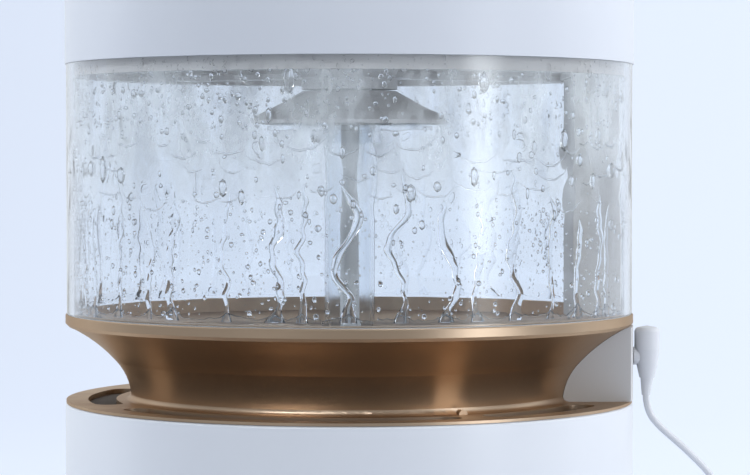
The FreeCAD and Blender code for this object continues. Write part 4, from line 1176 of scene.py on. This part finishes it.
# The drive shaft is steel; its near-white colour is painted light, standing in for the pale look it has
# inside the frosted pipe.
painted_pale_shaft = moulded("shaft_sleeve", (0.90, 0.90, 0.91), (0.86, 0.86, 0.87), 0.45, grain=1500.0, depth=0.00001)
dress(painted_pale_shaft, "drive_shaft")
dress(steel, "fan_spindle", "float_magnet")
dress(bright, "ceiling_screws", "duct_screws", "socket_pin", "plug_barrel", "mains_pins", "button_spring")
dress(zinc, "lift_motor", "fan_motor")
dress(brass, "contact_pins", "contact_pads")
dress(rubber, "foot_pads", "shaft_seal", "socket_leads", "riser_harness")
dress(seal_rubber, "window_seal")
dress(black, "dc_socket", "tact_switch", "cord_tie")
dress(basin_grey, "water_basin")
dress(fan_grey, "fan_wheel")
dress(grey, "pump_paddles")
dress(foam, "level_float")
dress(board_green, "control_board")
dress(smoked, "display_lens")
dress(glow, "glow_ring")
dress(lead_white, "dc_plug", "plug_relief", "adapter_relief", "adapter_case")
lead_curve.materials.append(lead_white)
filter_cloth = moulded(
    "dust_mesh",
    (0.045, 0.030, 0.020),
    (0.030, 0.020, 0.014),
    0.7,
    grain=1800.0,
    depth=0.0001,
)
dress(filter_cloth, "inlet_filter")


# ---- Printed marks on the control panel ----
# Thin grey marks beside the keys: power on the button, and a drop, a moon, a clock and a fan round it.

mark_grey = moulded("mark_ink", (0.22, 0.23, 0.25), (0.19, 0.20, 0.22), 0.5, grain=1800.0, depth=0.00001)
MARK_THICK = 0.12 * MM
MARK_LINE = 0.8
panel_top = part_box("control_panel")[1].z
button_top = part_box("power_button")[1].z


def circle_part(centre, radius, start, stop, steps=20):
    """Points of an arc in mm, by angles in degrees."""
    angles = [math.radians(start + (stop - start) * k / steps) for k in range(steps + 1)]
    return [(centre[0] + radius * math.cos(a), centre[1] + radius * math.sin(a)) for a in angles]


def stroke(mesh, points, base, width=MARK_LINE):
    """A flat line of even width through points in mm, printed on a level surface."""
    sections = []
    for i, point in enumerate(points):
        before, after = Vector(points[max(0, i - 1)]), Vector(points[min(len(points) - 1, i + 1)])
        along = (after - before).normalized()
        across = Vector((-along.y, along.x)) * width / 2
        left, right = Vector(point) + across, Vector(point) - across
        section = [(left, 0.0), (right, 0.0), (right, 1.0), (left, 1.0)]
        sections.append([mesh.verts.new((q.x * MM, q.y * MM, base + up * MARK_THICK)) for q, up in section])
    closed_strip(mesh, sections)


def printed(name, strokes, base, body):
    """One printed mark made of strokes."""
    mesh = bmesh.new()
    for points in strokes:
        stroke(mesh, points, base)
    bmesh.ops.recalc_face_normals(mesh, faces=mesh.faces)
    data = bpy.data.meshes.new(name)
    mesh.to_mesh(data)
    mesh.free()
    finished(name, data, body, mark_grey)


printed("power_mark", [circle_part((0, 0), 3.6, 120, 420), [(0.0, 1.2), (0.0, 4.8)]], button_top, "button")
MARK_REACH = 33.0


def mark_place(degrees):
    return (MARK_REACH * math.sin(math.radians(degrees)), -MARK_REACH * math.cos(math.radians(degrees)))


drop = mark_place(72)
drop_tip = [(drop[0], drop[1] + 3.6), (drop[0] - 1.8, drop[1] + 0.5)]
printed(
    "drop_mark",
    [circle_part((drop[0], drop[1] - 1.0), 2.4, 140, 400) + drop_tip],
    panel_top,
    "head",
)
moon = mark_place(108)
printed(
    "moon_mark",
    [circle_part(moon, 3.0, 60, 330), circle_part((moon[0] + 1.6, moon[1] + 0.9), 2.3, 78, 312)],
    panel_top,
    "head",
)
clock = mark_place(-72)
printed(
    "clock_mark",
    [circle_part(clock, 3.0, 0, 360), [(clock[0], clock[1] + 2.0), clock, (clock[0] + 1.4, clock[1] - 0.6)]],
    panel_top,
    "head",
)
fan = mark_place(-108)
printed(
    "fan_mark",
    [
        circle_part(
            (fan[0] + 1.5 * math.cos(math.radians(t)), fan[1] + 1.5 * math.sin(math.radians(t))),
            1.5,
            t - 180,
            t,
            10,
        )
        for t in (90, 210, 330)
    ],
    panel_top,
    "head",
)
